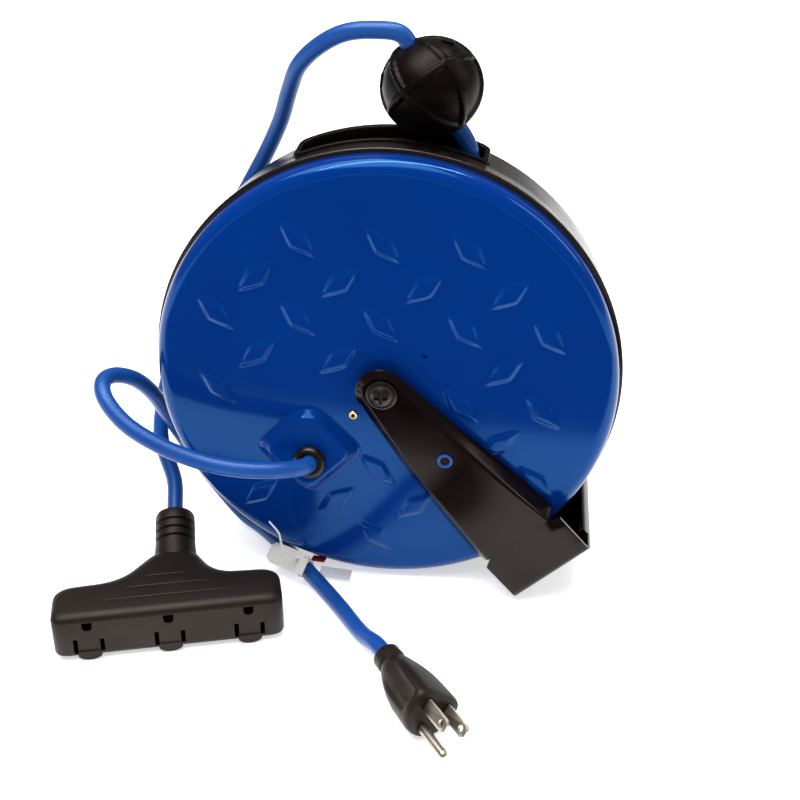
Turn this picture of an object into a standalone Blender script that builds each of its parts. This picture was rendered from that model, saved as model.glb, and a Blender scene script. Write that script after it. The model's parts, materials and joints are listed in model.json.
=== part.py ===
"""Retractable extension cord reel: drum, swivel bracket, sprung spool, slip rings, cords, plug and triple tap.

Lengths are in millimetres and become metres as each object is made. The drum stands on Z = 0, its axle lies
along Y and the coloured cover faces -Y. Y is written from the drum's own datum, and the empty `reel` that
carries everything puts the middle of the bracket at Y = 0.
"""

import math

import bmesh
import bpy
import numpy as np
from mathutils import Matrix, Vector

# Drum
AXLE_Z = 116.0
COVER_R = 114.0
COVER_FACE_Y = -32.5
COVER_REAR_Y = -20.5
COVER_CORNER_R = 7.0
COVER_T = 1.5
LIP_R = 116.0
LIP_Y = (-20.2, -17.7)
SPIGOT_Y = -25.2
TUB_R_FRONT = 115.0
TUB_R_REAR = 111.5
TUB_CORNER_R = 6.0
TUB_BACK_Y = 27.0
TUB_T = 1.8
MID_Y = 0.5 * (COVER_FACE_Y + TUB_BACK_Y)
GAP = 0.3

# Mouth
MOUTH_HALF = math.radians(24.3)
MOUTH_Y = (-3.7, 20.3)
MOUTH_GUIDE_R = (109.0, 114.6)
MOUTH_FRAME_WIDTH = 3.0

# Axle and hub
AXLE_R = 6.0
AXLE_END = 41.2
AXLE_SOCKET = 15.5
HUB_BORE_R = 6.08
SPACER_R = 8.6
WASHER_R = 7.6
SCREW_CLEARANCE_R = 3.1
SCREW_HEAD_R = 6.2
SCREW_SEAT_Y = -43.7

# Bracket
ARM_ANGLE = math.radians(-47.5)
ARM_LENGTH = 130.0
FLANGE_END = 104.0
SHEET_T = 2.0
WEB_Y_HUB = -41.5
WEB_Y_BASE = -47.0
RIM_Y_HUB = -38.5
RIM_Y_END = -33.8
SHOULDER = 3.0
ARM_STATIONS = (0.0, 38.0, 75.0, FLANGE_END, FLANGE_END + SHOULDER, ARM_LENGTH)
FACE_UPPER = (7.6, 9.0, 12.8, 17.4, 23.3, 23.3)
FACE_LOWER = (8.6, 15.0, 18.2, 19.6, 24.8, 24.8)
RIM_UPPER = (11.6, 14.4, 18.4, 20.4, 23.7, 23.7)
RIM_LOWER = (13.6, 21.0, 26.4, 29.6, 25.2, 25.2)
BASE_EDGES = (-25.0, 23.5)
LIP_T = 2.0
BASE_HOLE_R = 3.25
BASE_HOLE_Y = -24.0
EYELET_S = 46.5

# Cords
CORD_R = 4.2
CORD_HOLE_R = CORD_R + 0.6
WOUND_R = (40.1, 95.0)
WOUND_GROOVE = 3.5

# Spool, slip rings and ratchet
SPOOL_Y = (-7.2, 19.9)
SPOOL_HUB_R = (36.5, 39.8)
SPOOL_FLANGE_R = 104.0
SPOOL_FLANGE_T = 2.0
DISC_Y = (-13.5, -9.8)
SLIP_RINGS_R = ((11.5, 14.5), (18.5, 21.5), (25.5, 28.5))
SLIP_RING_Y = (-14.8, -13.8)
TOOTH_COUNT = 20
TOOTH_R = (44.0, 49.0)
PAWL_RADIUS = 62.0
PAWL_ANGLE = math.radians(140.0)
BRUSH_ANGLE = math.radians(100.0)

# Mainspring
SPRING_TURNS = 4.5
SPRING_R = (10.4, 35.4)
SPRING_Y = (-4.5, 17.5)
SPRING_STEPS = 72
SPRING_T = 0.8

# Ball stop
BALL_R = 24.5
BALL_CENTRE = (18.3, 9.5, AXLE_Z + 137.6)
BALL_AXIS = (-0.53, 0.0, 0.848)

# Lead cord entry
BOSS_CENTRE = (-38.0, -36.0)
BOSS_HALF = 25.0
ENTRY = (-36.0, -41.4, AXLE_Z - 40.0)
ENTRY_AXIS = (-0.08, -0.965, 0.24)
BRASS_AT = (-15.4, -17.3)
PIN_HOLE_AT = (20.1, 17.0)

# Triple tap
TAP_FACE = (-97.5, -103.0, 0.0)
TAP_YAW = math.radians(15.5)
TAP_HALF_WIDTH = 56.0
TAP_HEIGHT = 26.0
TAP_DEPTH = 27.0
OUTLET_PITCH = 38.8
SLOT_SPACING = 12.7
SLOT_Z = 8.2
GROUND_Z = 20.1
NECK_R = 10.0

# Plug
PLUG_FACE = (35.0, -148.5, 13.6)
PLUG_FORWARD = (0.56, -0.828, 0.0)
PLUG_ROLL = math.radians(-37.0)
TAG_CORNER = np.array((-61.8, -35.5, 5.0))
TAG_ALONG = np.array((24.1, -17.1, 4.0))
TAG_LEAN = np.array((4.1, 7.5, 7.4))
TAG_SIZE = (27.0, 11.5)
BLADE_U = 3.6
PIN_U = BLADE_U - 11.9

# Colour, roughness and metallic value of each finish
FINISHES = {
    "blue_enamel": ((0.01, 0.13, 0.62, 1.0), 0.18, 0.0),
    "black_shell": ((0.02, 0.02, 0.022, 1.0), 0.22, 0.0),
    "black_plastic": ((0.025, 0.024, 0.025, 1.0), 0.45, 0.0),
    "black_paint": ((0.018, 0.017, 0.018, 1.0), 0.35, 0.0),
    "black_screws": ((0.03, 0.03, 0.03, 1.0), 0.4, 0.8),
    "steel": ((0.62, 0.62, 0.63, 1.0), 0.35, 1.0),
    "brass": ((0.78, 0.58, 0.25, 1.0), 0.3, 1.0),
    "carbon": ((0.06, 0.06, 0.06, 1.0), 0.7, 0.0),
    "nylon": ((0.03, 0.03, 0.03, 1.0), 0.5, 0.0),
    "blue_grommet": ((0.03, 0.2, 0.7, 1.0), 0.3, 0.0),
    "blue_cord": ((0.02, 0.2, 0.72, 1.0), 0.45, 0.0),
    "black_rubber": ((0.035, 0.03, 0.03, 1.0), 0.6, 0.0),
    "white_nylon": ((0.9, 0.9, 0.9, 1.0), 0.4, 0.0),
    "white_card": ((0.92, 0.92, 0.9, 1.0), 0.8, 0.0),
}

MM = 0.001
SHARP_ANGLE = math.radians(32.0)

for old in list(bpy.data.objects):
    bpy.data.objects.remove(old)


def add_empty(name, location, parent=None):
    """A frame that other objects hang from; its location is in millimetres, in its parent's frame."""
    empty = bpy.data.objects.new(name, None)
    bpy.context.scene.collection.objects.link(empty)
    empty.empty_display_size = 10 * MM
    empty.parent = parent
    empty.location = Vector(tuple(location)) * MM
    return empty


reel = add_empty("reel", (0.0, -MID_Y, 0.0))


def unit(vector):
    vector = np.array(vector, float)
    return vector / np.linalg.norm(vector)


def frame_of(axis):
    """Two unit vectors across the axis."""
    axis = unit(axis)
    first = unit(np.cross(axis, (0.0, 0.0, 1.0) if abs(axis[2]) < 0.9 else (1.0, 0.0, 0.0)))
    return first, np.cross(axis, first)


def turned(x_axis, y_axis, z_axis):
    """The rotation that carries the local axes onto these three."""
    return Matrix([tuple(x_axis), tuple(y_axis), tuple(z_axis)]).transposed()


def place(made, origin, turn=None, helper=False):
    bpy.context.scene.collection.objects.link(made)
    made.parent = reel
    made.location = Vector(tuple(origin)) * MM
    if turn is not None:
        made.rotation_euler = turn.to_euler()
    if helper:
        made.hide_render = True
        made.display_type = "WIRE"
    return made


def add_mesh(name, bm, origin=(0, 0, 0), turn=None, helper=False):
    """An object from a bmesh in millimetres, placed by its location and rotation."""
    bmesh.ops.recalc_face_normals(bm, faces=bm.faces)
    bmesh.ops.scale(bm, vec=(MM, MM, MM), verts=bm.verts)
    data = bpy.data.meshes.new(name)
    bm.to_mesh(data)
    bm.free()
    data.shade_smooth()
    data.set_sharp_from_angle(angle=SHARP_ANGLE)
    return place(bpy.data.objects.new(name, data), origin, turn, helper)


def boolean(target, other, operation):
    modifier = target.modifiers.new(f"{operation.lower()}_{other.name}"[:60], "BOOLEAN")
    modifier.operation = operation
    modifier.solver = "EXACT"
    modifier.object = other
    return target


def cut(target, other):
    return boolean(target, other, "DIFFERENCE")


def join(target, other):
    return boolean(target, other, "UNION")


def loft(name, loops, origin=None, helper=False):
    """A solid extruded from the first loop through the others, which have the same number of points."""
    origin = np.mean(loops[0], axis=0) if origin is None else np.array(origin, float)
    bm = bmesh.new()
    corners = [bm.verts.new(tuple(np.array(p, float) - origin)) for p in loops[0]]
    face = bm.faces.new(corners)
    for step, loop in enumerate(loops[1:]):
        grown = bmesh.ops.extrude_face_region(bm, geom=[face], use_keep_orig=True)["geom"]
        fresh = {item for item in grown if isinstance(item, bmesh.types.BMVert)}
        if step > 0:
            bmesh.ops.delete(bm, geom=[face], context="FACES_ONLY")
        face = next(item for item in grown if isinstance(item, bmesh.types.BMFace))
        moved = []
        for corner in corners:
            ends = [edge.other_vert(corner) for edge in corner.link_edges]
            moved.append(next(end for end in ends if end in fresh))
        for corner, p in zip(moved, loop):
            corner.co = tuple(np.array(p, float) - origin)
        corners = moved
    return add_mesh(name, bm, origin, helper=helper)


def revolve(name, profile, centre, axis=(0, 1, 0), steps=48, helper=False):
    """A closed (radius, height) profile spun about an axis; a point at radius 0 closes the shape there."""
    bm = bmesh.new()
    line = [bm.verts.new((radius, 0.0, height)) for radius, height in profile]
    for one, two in zip(line, line[1:] + line[:1]):
        if one.co.x > 0 or two.co.x > 0:
            bm.edges.new((one, two))
    around = 2 * math.pi
    bmesh.ops.spin(bm, geom=line + bm.edges[:], axis=(0, 0, 1), angle=around, steps=steps, use_merge=True)
    bmesh.ops.remove_doubles(bm, verts=bm.verts, dist=0.0005)
    side, up = frame_of(axis)
    return add_mesh(name, bm, centre, turned(side, up, unit(axis)), helper)


def cylinder(name, start, end, radius, steps=24, helper=False):
    start = np.array(start, float)
    end = np.array(end, float)
    length = float(np.linalg.norm(end - start))
    bm = bmesh.new()
    bmesh.ops.create_cone(bm, cap_ends=True, segments=steps, radius1=radius, radius2=radius, depth=length)
    side, up = frame_of(end - start)
    return add_mesh(name, bm, (start + end) / 2, turned(side, up, unit(end - start)), helper)


def ring(name, inner, outer, y_range, steps=48):
    profile = [(inner, y_range[0]), (outer, y_range[0]), (outer, y_range[1]), (inner, y_range[1])]
    return revolve(name, profile, (0.0, 0.0, AXLE_Z), (0, 1, 0), steps)


def block(bm, low, high):
    """A box between two corners, added to a bmesh."""
    size = np.array(high, float) - np.array(low, float)
    middle = (np.array(high, float) + np.array(low, float)) / 2
    place_at = Matrix.Translation(tuple(middle)) @ Matrix.Diagonal((*size, 1.0))
    bmesh.ops.create_cube(bm, size=1.0, matrix=place_at)


def placed_box(name, origin, axes, low, high, helper=False):
    """A box given in a local frame of three axes, of either hand, about the object's own origin."""
    bm = bmesh.new()
    block(bm, low, high)
    third = np.cross(axes[0], axes[1])
    if np.dot(third, axes[2]) < 0:
        bmesh.ops.scale(bm, vec=(1, 1, -1), verts=bm.verts)
    return add_mesh(name, bm, origin, turned(axes[0], axes[1], third), helper)


def prism(name, outline, y0, y1, helper=False):
    """An outline in X and Z about the axle, carried from y0 to y1."""
    loops = []
    for y in (y0, y1):
        loops.append([(x, y, AXLE_Z + z) for x, z in outline])
    return loft(name, loops, helper=helper)


def quarter(centre_r, centre_h, radius, count, start=0.0, sign=1):
    """Points of a quarter circle in (radius, height), for the corner of a turned profile."""
    out = []
    for i in range(count + 1):
        a = start + sign * math.pi / 2 * i / count
        out.append((centre_r + radius * math.cos(a), centre_h + radius * math.sin(a)))
    return out


def spline(points, per_span):
    """A smooth curve through the points (centripetal Catmull-Rom), sampled per_span times between each pair."""
    points = [np.array(p, float) for p in points]
    points = [2 * points[0] - points[1]] + points + [2 * points[-1] - points[-2]]
    out = []
    for k in range(1, len(points) - 2):
        p0, p1, p2, p3 = points[k - 1:k + 3]
        t0 = 0.0
        t1 = t0 + math.sqrt(np.linalg.norm(p1 - p0))
        t2 = t1 + math.sqrt(np.linalg.norm(p2 - p1))
        t3 = t2 + math.sqrt(np.linalg.norm(p3 - p2))
        for i in range(per_span):
            t = t1 + (t2 - t1) * i / per_span
            a1 = (t1 - t) / (t1 - t0) * p0 + (t - t0) / (t1 - t0) * p1
            a2 = (t2 - t) / (t2 - t1) * p1 + (t - t1) / (t2 - t1) * p2
            a3 = (t3 - t) / (t3 - t2) * p2 + (t - t2) / (t3 - t2) * p3
            b1 = (t2 - t) / (t2 - t0) * a1 + (t - t0) / (t2 - t0) * a2
            b2 = (t3 - t) / (t3 - t1) * a2 + (t - t1) / (t3 - t1) * a3
            out.append((t2 - t) / (t2 - t1) * b1 + (t - t1) / (t2 - t1) * b2)
    out.append(points[-2])
    return out


def cord(name, path):
    """A round cord along a path: a bevelled curve with filled caps."""
    data = bpy.data.curves.new(name, "CURVE")
    data.dimensions = "3D"
    data.bevel_depth = CORD_R * MM
    data.bevel_resolution = 2
    data.use_fill_caps = True
    line = data.splines.new("POLY")
    line.points.add(len(path) - 1)
    for point, p in zip(line.points, path):
        point.co = (*(np.array(p, float) - path[0]) * MM, 1.0)
    return place(bpy.data.objects.new(name, data), path[0])


def pan_head(name, seat, axis, head_r, head_h, shank_r, shank_l, steps=20):
    """A screw with a domed head standing on its seat and its shank running back along -axis."""
    profile = [(0, -shank_l), (shank_r, -shank_l), (shank_r, 0), (head_r, 0), (head_r, 0.45 * head_h)]
    profile += [(0.75 * head_r, 0.85 * head_h), (0, head_h)]
    return revolve(name, profile, seat, axis, steps)


# ---------------------------------------------------------------- front cover
corner_at = (COVER_R - COVER_CORNER_R, COVER_FACE_Y + COVER_CORNER_R)
profile = [(HUB_BORE_R, COVER_FACE_Y)]
profile += quarter(*corner_at, COVER_CORNER_R, 3, -math.pi / 2)
profile += [(COVER_R, COVER_REAR_Y), (COVER_R - COVER_T, COVER_REAR_Y)]
profile += quarter(*corner_at, COVER_CORNER_R - COVER_T, 3, 0.0, -1)
profile += [(HUB_BORE_R, COVER_FACE_Y + COVER_T)]
front_cover = revolve("front_cover", profile, (0, 0, AXLE_Z), steps=48)


def boss_outline(grow):
    """The raised pad: a square standing on one corner, with its corners rounded."""
    half = BOSS_HALF + grow
    corners = [(0, half), (half, 0), (0, -half), (-half, 0)]
    out = []
    for k in range(4):
        here = np.array(corners[k], float)
        before = unit(np.array(corners[k - 1], float) - here)
        after = unit(np.array(corners[(k + 1) % 4], float) - here)
        for i in range(4):
            w = i / 3
            near = here + before * 7.0
            far = here + after * 7.0
            out.append((1 - w) ** 2 * near + 2 * w * (1 - w) * here + w ** 2 * far)
    return out


def boss_height(z):
    return 2.0 + 12.0 * (BOSS_HALF - z) / (2 * BOSS_HALF)


base_loop = []
top_loop = []
for wide, narrow in zip(boss_outline(0.0), boss_outline(-3.0)):
    base_loop.append((BOSS_CENTRE[0] + wide[0], COVER_FACE_Y + 0.7, AXLE_Z + BOSS_CENTRE[1] + wide[1]))
    top_loop.append((BOSS_CENTRE[0] + narrow[0], COVER_FACE_Y - boss_height(narrow[1]),
                     AXLE_Z + BOSS_CENTRE[1] + narrow[1]))
join(front_cover, loft("h_boss", [base_loop, top_loop], helper=True))
entry = np.array(ENTRY)
entry_axis = unit(ENTRY_AXIS)
cut(front_cover, cylinder("h_entry", entry - 30 * entry_axis, entry + 20 * entry_axis, 6.5, helper=True))
cut(front_cover, cylinder("h_brass", (BRASS_AT[0], -40, AXLE_Z + BRASS_AT[1]),
                          (BRASS_AT[0], -25, AXLE_Z + BRASS_AT[1]), 1.8, 12, helper=True))
cut(front_cover, cylinder("h_pin", (PIN_HOLE_AT[0], -40, AXLE_Z + PIN_HOLE_AT[1]),
                          (PIN_HOLE_AT[0], -25, AXLE_Z + PIN_HOLE_AT[1]), 1.1, 12, helper=True))

revolve("brass_eyelet", [(0.9, -1.0), (2.3, -1.0), (2.3, -0.3), (1.5, -0.3), (1.5, 1.8), (0.9, 1.8)],
        (BRASS_AT[0], COVER_FACE_Y, AXLE_Z + BRASS_AT[1]), steps=16)

profile = [(4.6, -13.0), (6.0, -13.0), (6.0, 1.2), (8.2, 1.2), (8.2, 3.6), (7.0, 5.4), (4.6, 5.4)]
revolve("strain_relief", profile, entry, entry_axis, steps=16)

# ---------------------------------------------------------------- rear housing
spigot_r = COVER_R - COVER_T - GAP
corner_at = (TUB_R_REAR - TUB_CORNER_R, TUB_BACK_Y - TUB_CORNER_R)
profile = [(spigot_r, SPIGOT_Y), (spigot_r, LIP_Y[0]), (LIP_R, LIP_Y[0]), (LIP_R, LIP_Y[1])]
profile.append((TUB_R_FRONT, LIP_Y[1]))
profile += quarter(*corner_at, TUB_CORNER_R, 3)
profile += [(HUB_BORE_R, TUB_BACK_Y), (HUB_BORE_R, TUB_BACK_Y - TUB_T)]
profile += quarter(*corner_at, TUB_CORNER_R - TUB_T, 2, math.pi / 2, -1)
profile += [(spigot_r - TUB_T, SPIGOT_Y)]
rear_housing = revolve("rear_housing", profile, (0, 0, AXLE_Z), steps=48)


def sector(name, inner, outer, y0, y1, half_angle, steps, helper):
    """A block of a ring, centred on straight up."""
    loops = []
    for i in range(steps + 1):
        a = math.pi / 2 + half_angle - 2 * half_angle * i / steps
        loop = []
        for radius, y in ((inner, y0), (outer, y0), (outer, y1), (inner, y1)):
            loop.append((radius * math.cos(a), y, AXLE_Z + radius * math.sin(a)))
        loops.append(loop)
    return loft(name, loops, helper=helper)


cut(rear_housing, sector("h_mouth_out", 100, 125, MOUTH_Y[0] - GAP, MOUTH_Y[1] + GAP, MOUTH_HALF, 8, True))
mouth_guide = sector("mouth_guide", *MOUTH_GUIDE_R, *MOUTH_Y, MOUTH_HALF - 0.003, 8, False)
inside_y = (MOUTH_Y[0] + MOUTH_FRAME_WIDTH, MOUTH_Y[1] - MOUTH_FRAME_WIDTH)
cut(mouth_guide, sector("h_mouth_in", 100, 125, *inside_y, MOUTH_HALF - 0.018, 8, True))

# ---------------------------------------------------------------- axle and hub hardware
axle_ends = (-AXLE_END, 2 * MID_Y + AXLE_END)
socket_ends = (axle_ends[0] + AXLE_SOCKET, axle_ends[1] - AXLE_SOCKET)
profile = [(0, socket_ends[0]), (SCREW_CLEARANCE_R, socket_ends[0]), (SCREW_CLEARANCE_R, axle_ends[0]),
           (AXLE_R, axle_ends[0]), (AXLE_R, axle_ends[1]), (SCREW_CLEARANCE_R, axle_ends[1]),
           (SCREW_CLEARANCE_R, socket_ends[1]), (0, socket_ends[1])]
revolve("axle", profile, (0, 0, AXLE_Z), steps=24)


def mirrored(y):
    return 2 * MID_Y - y


for tag, sign in (("front", 1), ("rear", -1)):
    def at(y, sign=sign):
        return y if sign > 0 else mirrored(y)

    low, high = sorted((at(-38.4), at(-32.8)))
    ring(f"hub_spacer_{tag}", HUB_BORE_R, SPACER_R, (low, high), 24)
    low, high = sorted((at(-43.4), at(-42.2)))
    ring(f"hub_washer_{tag}", SCREW_CLEARANCE_R, WASHER_R, (low, high), 24)
    seat = (0, at(SCREW_SEAT_Y), AXLE_Z)
    screw = pan_head(f"hub_screw_{tag}", seat, (0, -sign, 0), SCREW_HEAD_R, 3.2, 2.8, 14.0, 24)
    low, high = sorted((at(-50.0), at(SCREW_SEAT_Y - 1.4)))
    for k, half in enumerate(((3.4, 0.75), (0.75, 3.4))):
        slot = placed_box(f"h_cross_{tag}_{k}", (0, 0, AXLE_Z), np.eye(3), (-half[0], low, -half[1]),
                          (half[0], high, half[1]), helper=True)
        cut(screw, slot)

# ---------------------------------------------------------------- bracket
ARM_S = np.array((math.cos(ARM_ANGLE), 0.0, math.sin(ARM_ANGLE)))
ARM_T = np.array((-math.sin(ARM_ANGLE), 0.0, math.cos(ARM_ANGLE)))
ARM_Y = np.array((0.0, 1.0, 0.0))
HUB = np.array((0.0, 0.0, AXLE_Z))


def web_y(s):
    """The outer face of the arm's sheet, s along the arm from the hub."""
    return WEB_Y_HUB + (WEB_Y_BASE - WEB_Y_HUB) * s / ARM_LENGTH


def face_half(s, upper):
    """How far the flat face reaches from the arm's middle line, above it or below it."""
    return float(np.interp(s, ARM_STATIONS, FACE_UPPER if upper else FACE_LOWER))


def rim_half(s, upper):
    """How far the rim of the turned-in flange reaches."""
    return float(np.interp(s, ARM_STATIONS, RIM_UPPER if upper else RIM_LOWER))


def rim_y(s):
    return RIM_Y_HUB + (RIM_Y_END - RIM_Y_HUB) * s / FLANGE_END


def arm_loops(inset, end):
    """Loops of the stamped arm from its rim to its face; inset > 0 gives the hollow behind it."""
    stations = [end, *reversed(ARM_STATIONS[:5])]

    def half_at(level, s, upper):
        if level < 2:
            return rim_half(s, upper) - inset
        if level == 2:
            return 0.75 * face_half(s, upper) + 0.25 * rim_half(s, upper) - inset
        return face_half(s, upper) - inset

    def y_at(level, s):
        if level == 0:
            return rim_y(s) + 30.0
        if level == 1:
            return rim_y(s) + (0.05 if inset else 0.0)
        return web_y(s) + inset + (1.0 - 0.25 * inset if level == 2 else 0.0)

    loops = []
    for level in range(0 if inset else 1, 4):
        spots = [(s, half_at(level, s, True)) for s in stations]
        for i in range(1, 8):
            a = math.pi / 2 + math.pi * i / 8
            low = (1 - math.sin(a)) / 2
            half = half_at(level, 0.0, True) * (1 - low) + half_at(level, 0.0, False) * low
            spots.append((half * math.cos(a), half * math.sin(a)))
        spots += [(s, -half_at(level, s, False)) for s in reversed(stations)]
        loops.append([(s, t, y_at(level, s)) for s, t in spots])
    return loops


def arm_points(loops, flip):
    out = []
    for loop in loops:
        out.append([HUB + s * ARM_S + t * ARM_T + (mirrored(y) if flip else y) * ARM_Y for s, t, y in loop])
    return out


def arm(name, flip, helper):
    made = loft(name, arm_points(arm_loops(0.0, ARM_LENGTH), flip), HUB, helper)
    hollow = arm_loops(SHEET_T, ARM_LENGTH + 6.0)
    cut(made, loft(f"h_hollow_{name}", arm_points(hollow, flip), HUB, True))
    points = []
    for y_of in (lambda s: web_y(s) + SHEET_T + 0.03, lambda s: 0.0):
        loop = []
        start = FLANGE_END + 0.37
        for s, t in ((start, -40.0), (140.0, -40.0), (140.0, 40.0), (start, 40.0)):
            y = y_of(s)
            loop.append(HUB + s * ARM_S + t * ARM_T + (mirrored(y) if flip else y) * ARM_Y)
        points.append(loop)
    cut(made, loft(f"h_open_{name}", points, HUB, True))
    return made


bracket = arm("bracket", False, False)
join(bracket, arm("h_rear_arm", True, True))
axes = (ARM_S, ARM_T, ARM_Y)
plate_y = (WEB_Y_BASE + 0.02, mirrored(WEB_Y_BASE + 0.02))
join(bracket, placed_box("h_plate", HUB, axes,
                         (ARM_LENGTH - 1.0, BASE_EDGES[0] + 0.2, plate_y[0]),
                         (ARM_LENGTH + 1.0, BASE_EDGES[1] - 0.2, plate_y[1]), True))
lips = ((BASE_EDGES[0], BASE_EDGES[0] + LIP_T), (BASE_EDGES[1] - LIP_T, BASE_EDGES[1]))
for k, (low, high) in enumerate(lips):
    join(bracket, placed_box(f"h_lip_{k}", HUB, axes, (ARM_LENGTH - 5.0, low, -33.0),
                             (ARM_LENGTH + 0.5, high, mirrored(-33.0)), True))
for k, y in enumerate((BASE_HOLE_Y, MID_Y, mirrored(BASE_HOLE_Y))):
    hole = HUB + y * ARM_Y
    cut(bracket, cylinder(f"h_hole_{k}", hole + 120 * ARM_S, hole + 140 * ARM_S, BASE_HOLE_R, 16, helper=True))
cut(bracket, cylinder("h_pivot", (0, -70, AXLE_Z), (0, 70, AXLE_Z), HUB_BORE_R, 24, helper=True))
eyelet_at = HUB + EYELET_S * ARM_S + web_y(EYELET_S) * ARM_Y
cut(bracket, cylinder("h_eyelet", eyelet_at - 10 * ARM_Y, eyelet_at + 12 * ARM_Y, 3.1, 16, helper=True))
revolve("bracket_eyelet", [(1.9, -1.2), (4.1, -1.2), (4.1, -0.35), (2.7, -0.35), (2.7, 2.35),
                           (4.1, 2.35), (4.1, 3.1), (1.9, 3.1)], eyelet_at, (0, 1, 0), 16)

# ---------------------------------------------------------------- spool
ring("spool_hub", *SPOOL_HUB_R, SPOOL_Y, 32)
flange_y = (SPOOL_Y[0] - GAP - SPOOL_FLANGE_T, SPOOL_Y[0] - GAP)
ring("spool_flange_front", HUB_BORE_R, SPOOL_FLANGE_R, flange_y, 36)
flange_y = (SPOOL_Y[1] + GAP, SPOOL_Y[1] + GAP + SPOOL_FLANGE_T)
ring("spool_flange_rear", HUB_BORE_R, SPOOL_FLANGE_R, flange_y, 36)
groove_r = WOUND_R[1] - WOUND_GROOVE
profile = [(WOUND_R[0], SPOOL_Y[0] + 0.1), (groove_r, SPOOL_Y[0] + 0.1)]
lanes = 3
width = (SPOOL_Y[1] - SPOOL_Y[0] - 0.2) / lanes
for k in range(lanes):
    y = SPOOL_Y[0] + 0.1 + k * width
    profile += [(WOUND_R[1], y + 0.3 * width), (WOUND_R[1], y + 0.7 * width)]
    if k < lanes - 1:
        profile.append((groove_r, y + width))
profile += [(groove_r, SPOOL_Y[1] - 0.1), (WOUND_R[0], SPOOL_Y[1] - 0.1)]
revolve("wound_cord", profile, (0, 0, AXLE_Z), steps=32)
ring("slip_ring_disc", HUB_BORE_R, 33.0, DISC_Y, 32)
for k, (inner, outer) in enumerate(SLIP_RINGS_R):
    ring(f"slip_ring_{k + 1}", inner, outer, SLIP_RING_Y, 20)
teeth = []
for k in range(TOOTH_COUNT):
    a = 2 * math.pi * k / TOOTH_COUNT
    teeth.append((TOOTH_R[1] * math.cos(a), TOOTH_R[1] * math.sin(a)))
    b = a + 2 * math.pi / TOOTH_COUNT * 0.92
    teeth.append((TOOTH_R[0] * math.cos(b), TOOTH_R[0] * math.sin(b)))
ratchet = prism("ratchet_wheel", teeth, *DISC_Y)
cut(ratchet, cylinder("h_ratchet", (0, -30, AXLE_Z), (0, 0, AXLE_Z), 34.0, 40, helper=True))

# ---------------------------------------------------------------- mainspring and arbor
ring("spring_arbor", AXLE_R + GAP, 9.5, (-6.0, 18.5), 24)
bm = bmesh.new()
edges = []
for i in range(SPRING_STEPS + 1):
    a = 2 * math.pi * SPRING_TURNS * i / SPRING_STEPS
    middle = SPRING_R[0] + (SPRING_R[1] - SPRING_R[0]) * i / SPRING_STEPS
    ends = []
    for r in (middle - SPRING_T / 2, middle + SPRING_T / 2):
        ends.append(bm.verts.new((r * math.cos(a), SPRING_Y[0], r * math.sin(a))))
    edges.append(ends)
for one, two in zip(edges, edges[1:]):
    bm.faces.new((one[0], one[1], two[1], two[0]))
grown = bmesh.ops.extrude_face_region(bm, geom=bm.faces[:], use_keep_orig=True)["geom"]
far = [item for item in grown if isinstance(item, bmesh.types.BMVert)]
bmesh.ops.translate(bm, vec=(0, SPRING_Y[1] - SPRING_Y[0], 0), verts=far)
add_mesh("mainspring", bm, (0, 0, AXLE_Z))

# ---------------------------------------------------------------- brushes
brush_dir = np.array((math.cos(BRUSH_ANGLE), 0.0, math.sin(BRUSH_ANGLE)))
brush_side = np.array((-math.sin(BRUSH_ANGLE), 0.0, math.cos(BRUSH_ANGLE)))
brush_axes = (brush_dir, brush_side, ARM_Y)
holder = placed_box("brush_holder", HUB, brush_axes, (8.5, -6.0, -30.7), (31.5, 6.0, -18.5))
for k, (inner, outer) in enumerate(SLIP_RINGS_R):
    r = (inner + outer) / 2
    low, high = (r - 1.6, -2.1, -27.0), (r + 1.6, 2.1, -10.0)
    cut(holder, placed_box(f"h_brush_{k}", HUB, brush_axes, low, high, True))
    placed_box(f"brush_{k + 1}", HUB, brush_axes, (r - 1.3, -1.8, -26.7), (r + 1.3, 1.8, -15.1))

# ---------------------------------------------------------------- pawl
PAWL_AT = (PAWL_RADIUS * math.cos(PAWL_ANGLE), PAWL_RADIUS * math.sin(PAWL_ANGLE))
pawl_x = PAWL_AT[0]
pawl_z = AXLE_Z + PAWL_AT[1]
cylinder("pawl_pin", (pawl_x, -30.7, pawl_z), (pawl_x, -10.3, pawl_z), 2.0, 16)
pawl_r = unit(PAWL_AT)
pawl_t = np.array((-pawl_r[1], pawl_r[0]))
pawl_outline = []
for i in range(9):
    a = math.radians(90 + 180 * i / 8)
    pawl_outline.append((5.0 * math.cos(a), 5.0 * math.sin(a)))
pawl_outline += [(8.0, -5.0), (15.5, -13.4), (18.2, -12.6), (13.0, 3.5)]
outline = []
for along, out in pawl_outline:
    outline.append(tuple(np.array(PAWL_AT) + along * pawl_t + out * pawl_r))
pawl = prism("pawl", outline, -13.3, -10.6)
cut(pawl, cylinder("h_pawl", (pawl_x, -30, pawl_z), (pawl_x, 0, pawl_z), 2.3, 16, helper=True))

# ---------------------------------------------------------------- case screws on the back
for k in range(4):
    a = math.radians(45 + 90 * k)
    x = 92.0 * math.cos(a)
    z = AXLE_Z + 92.0 * math.sin(a)
    cut(rear_housing, cylinder(f"h_case_{k}", (x, 20, z), (x, 40, z), 2.3, 12, helper=True))
    pan_head(f"case_screw_{k + 1}", (x, TUB_BACK_Y + GAP, z), (0, 1, 0), 4.2, 1.3, 2.0, 3.6, 12)

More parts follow.
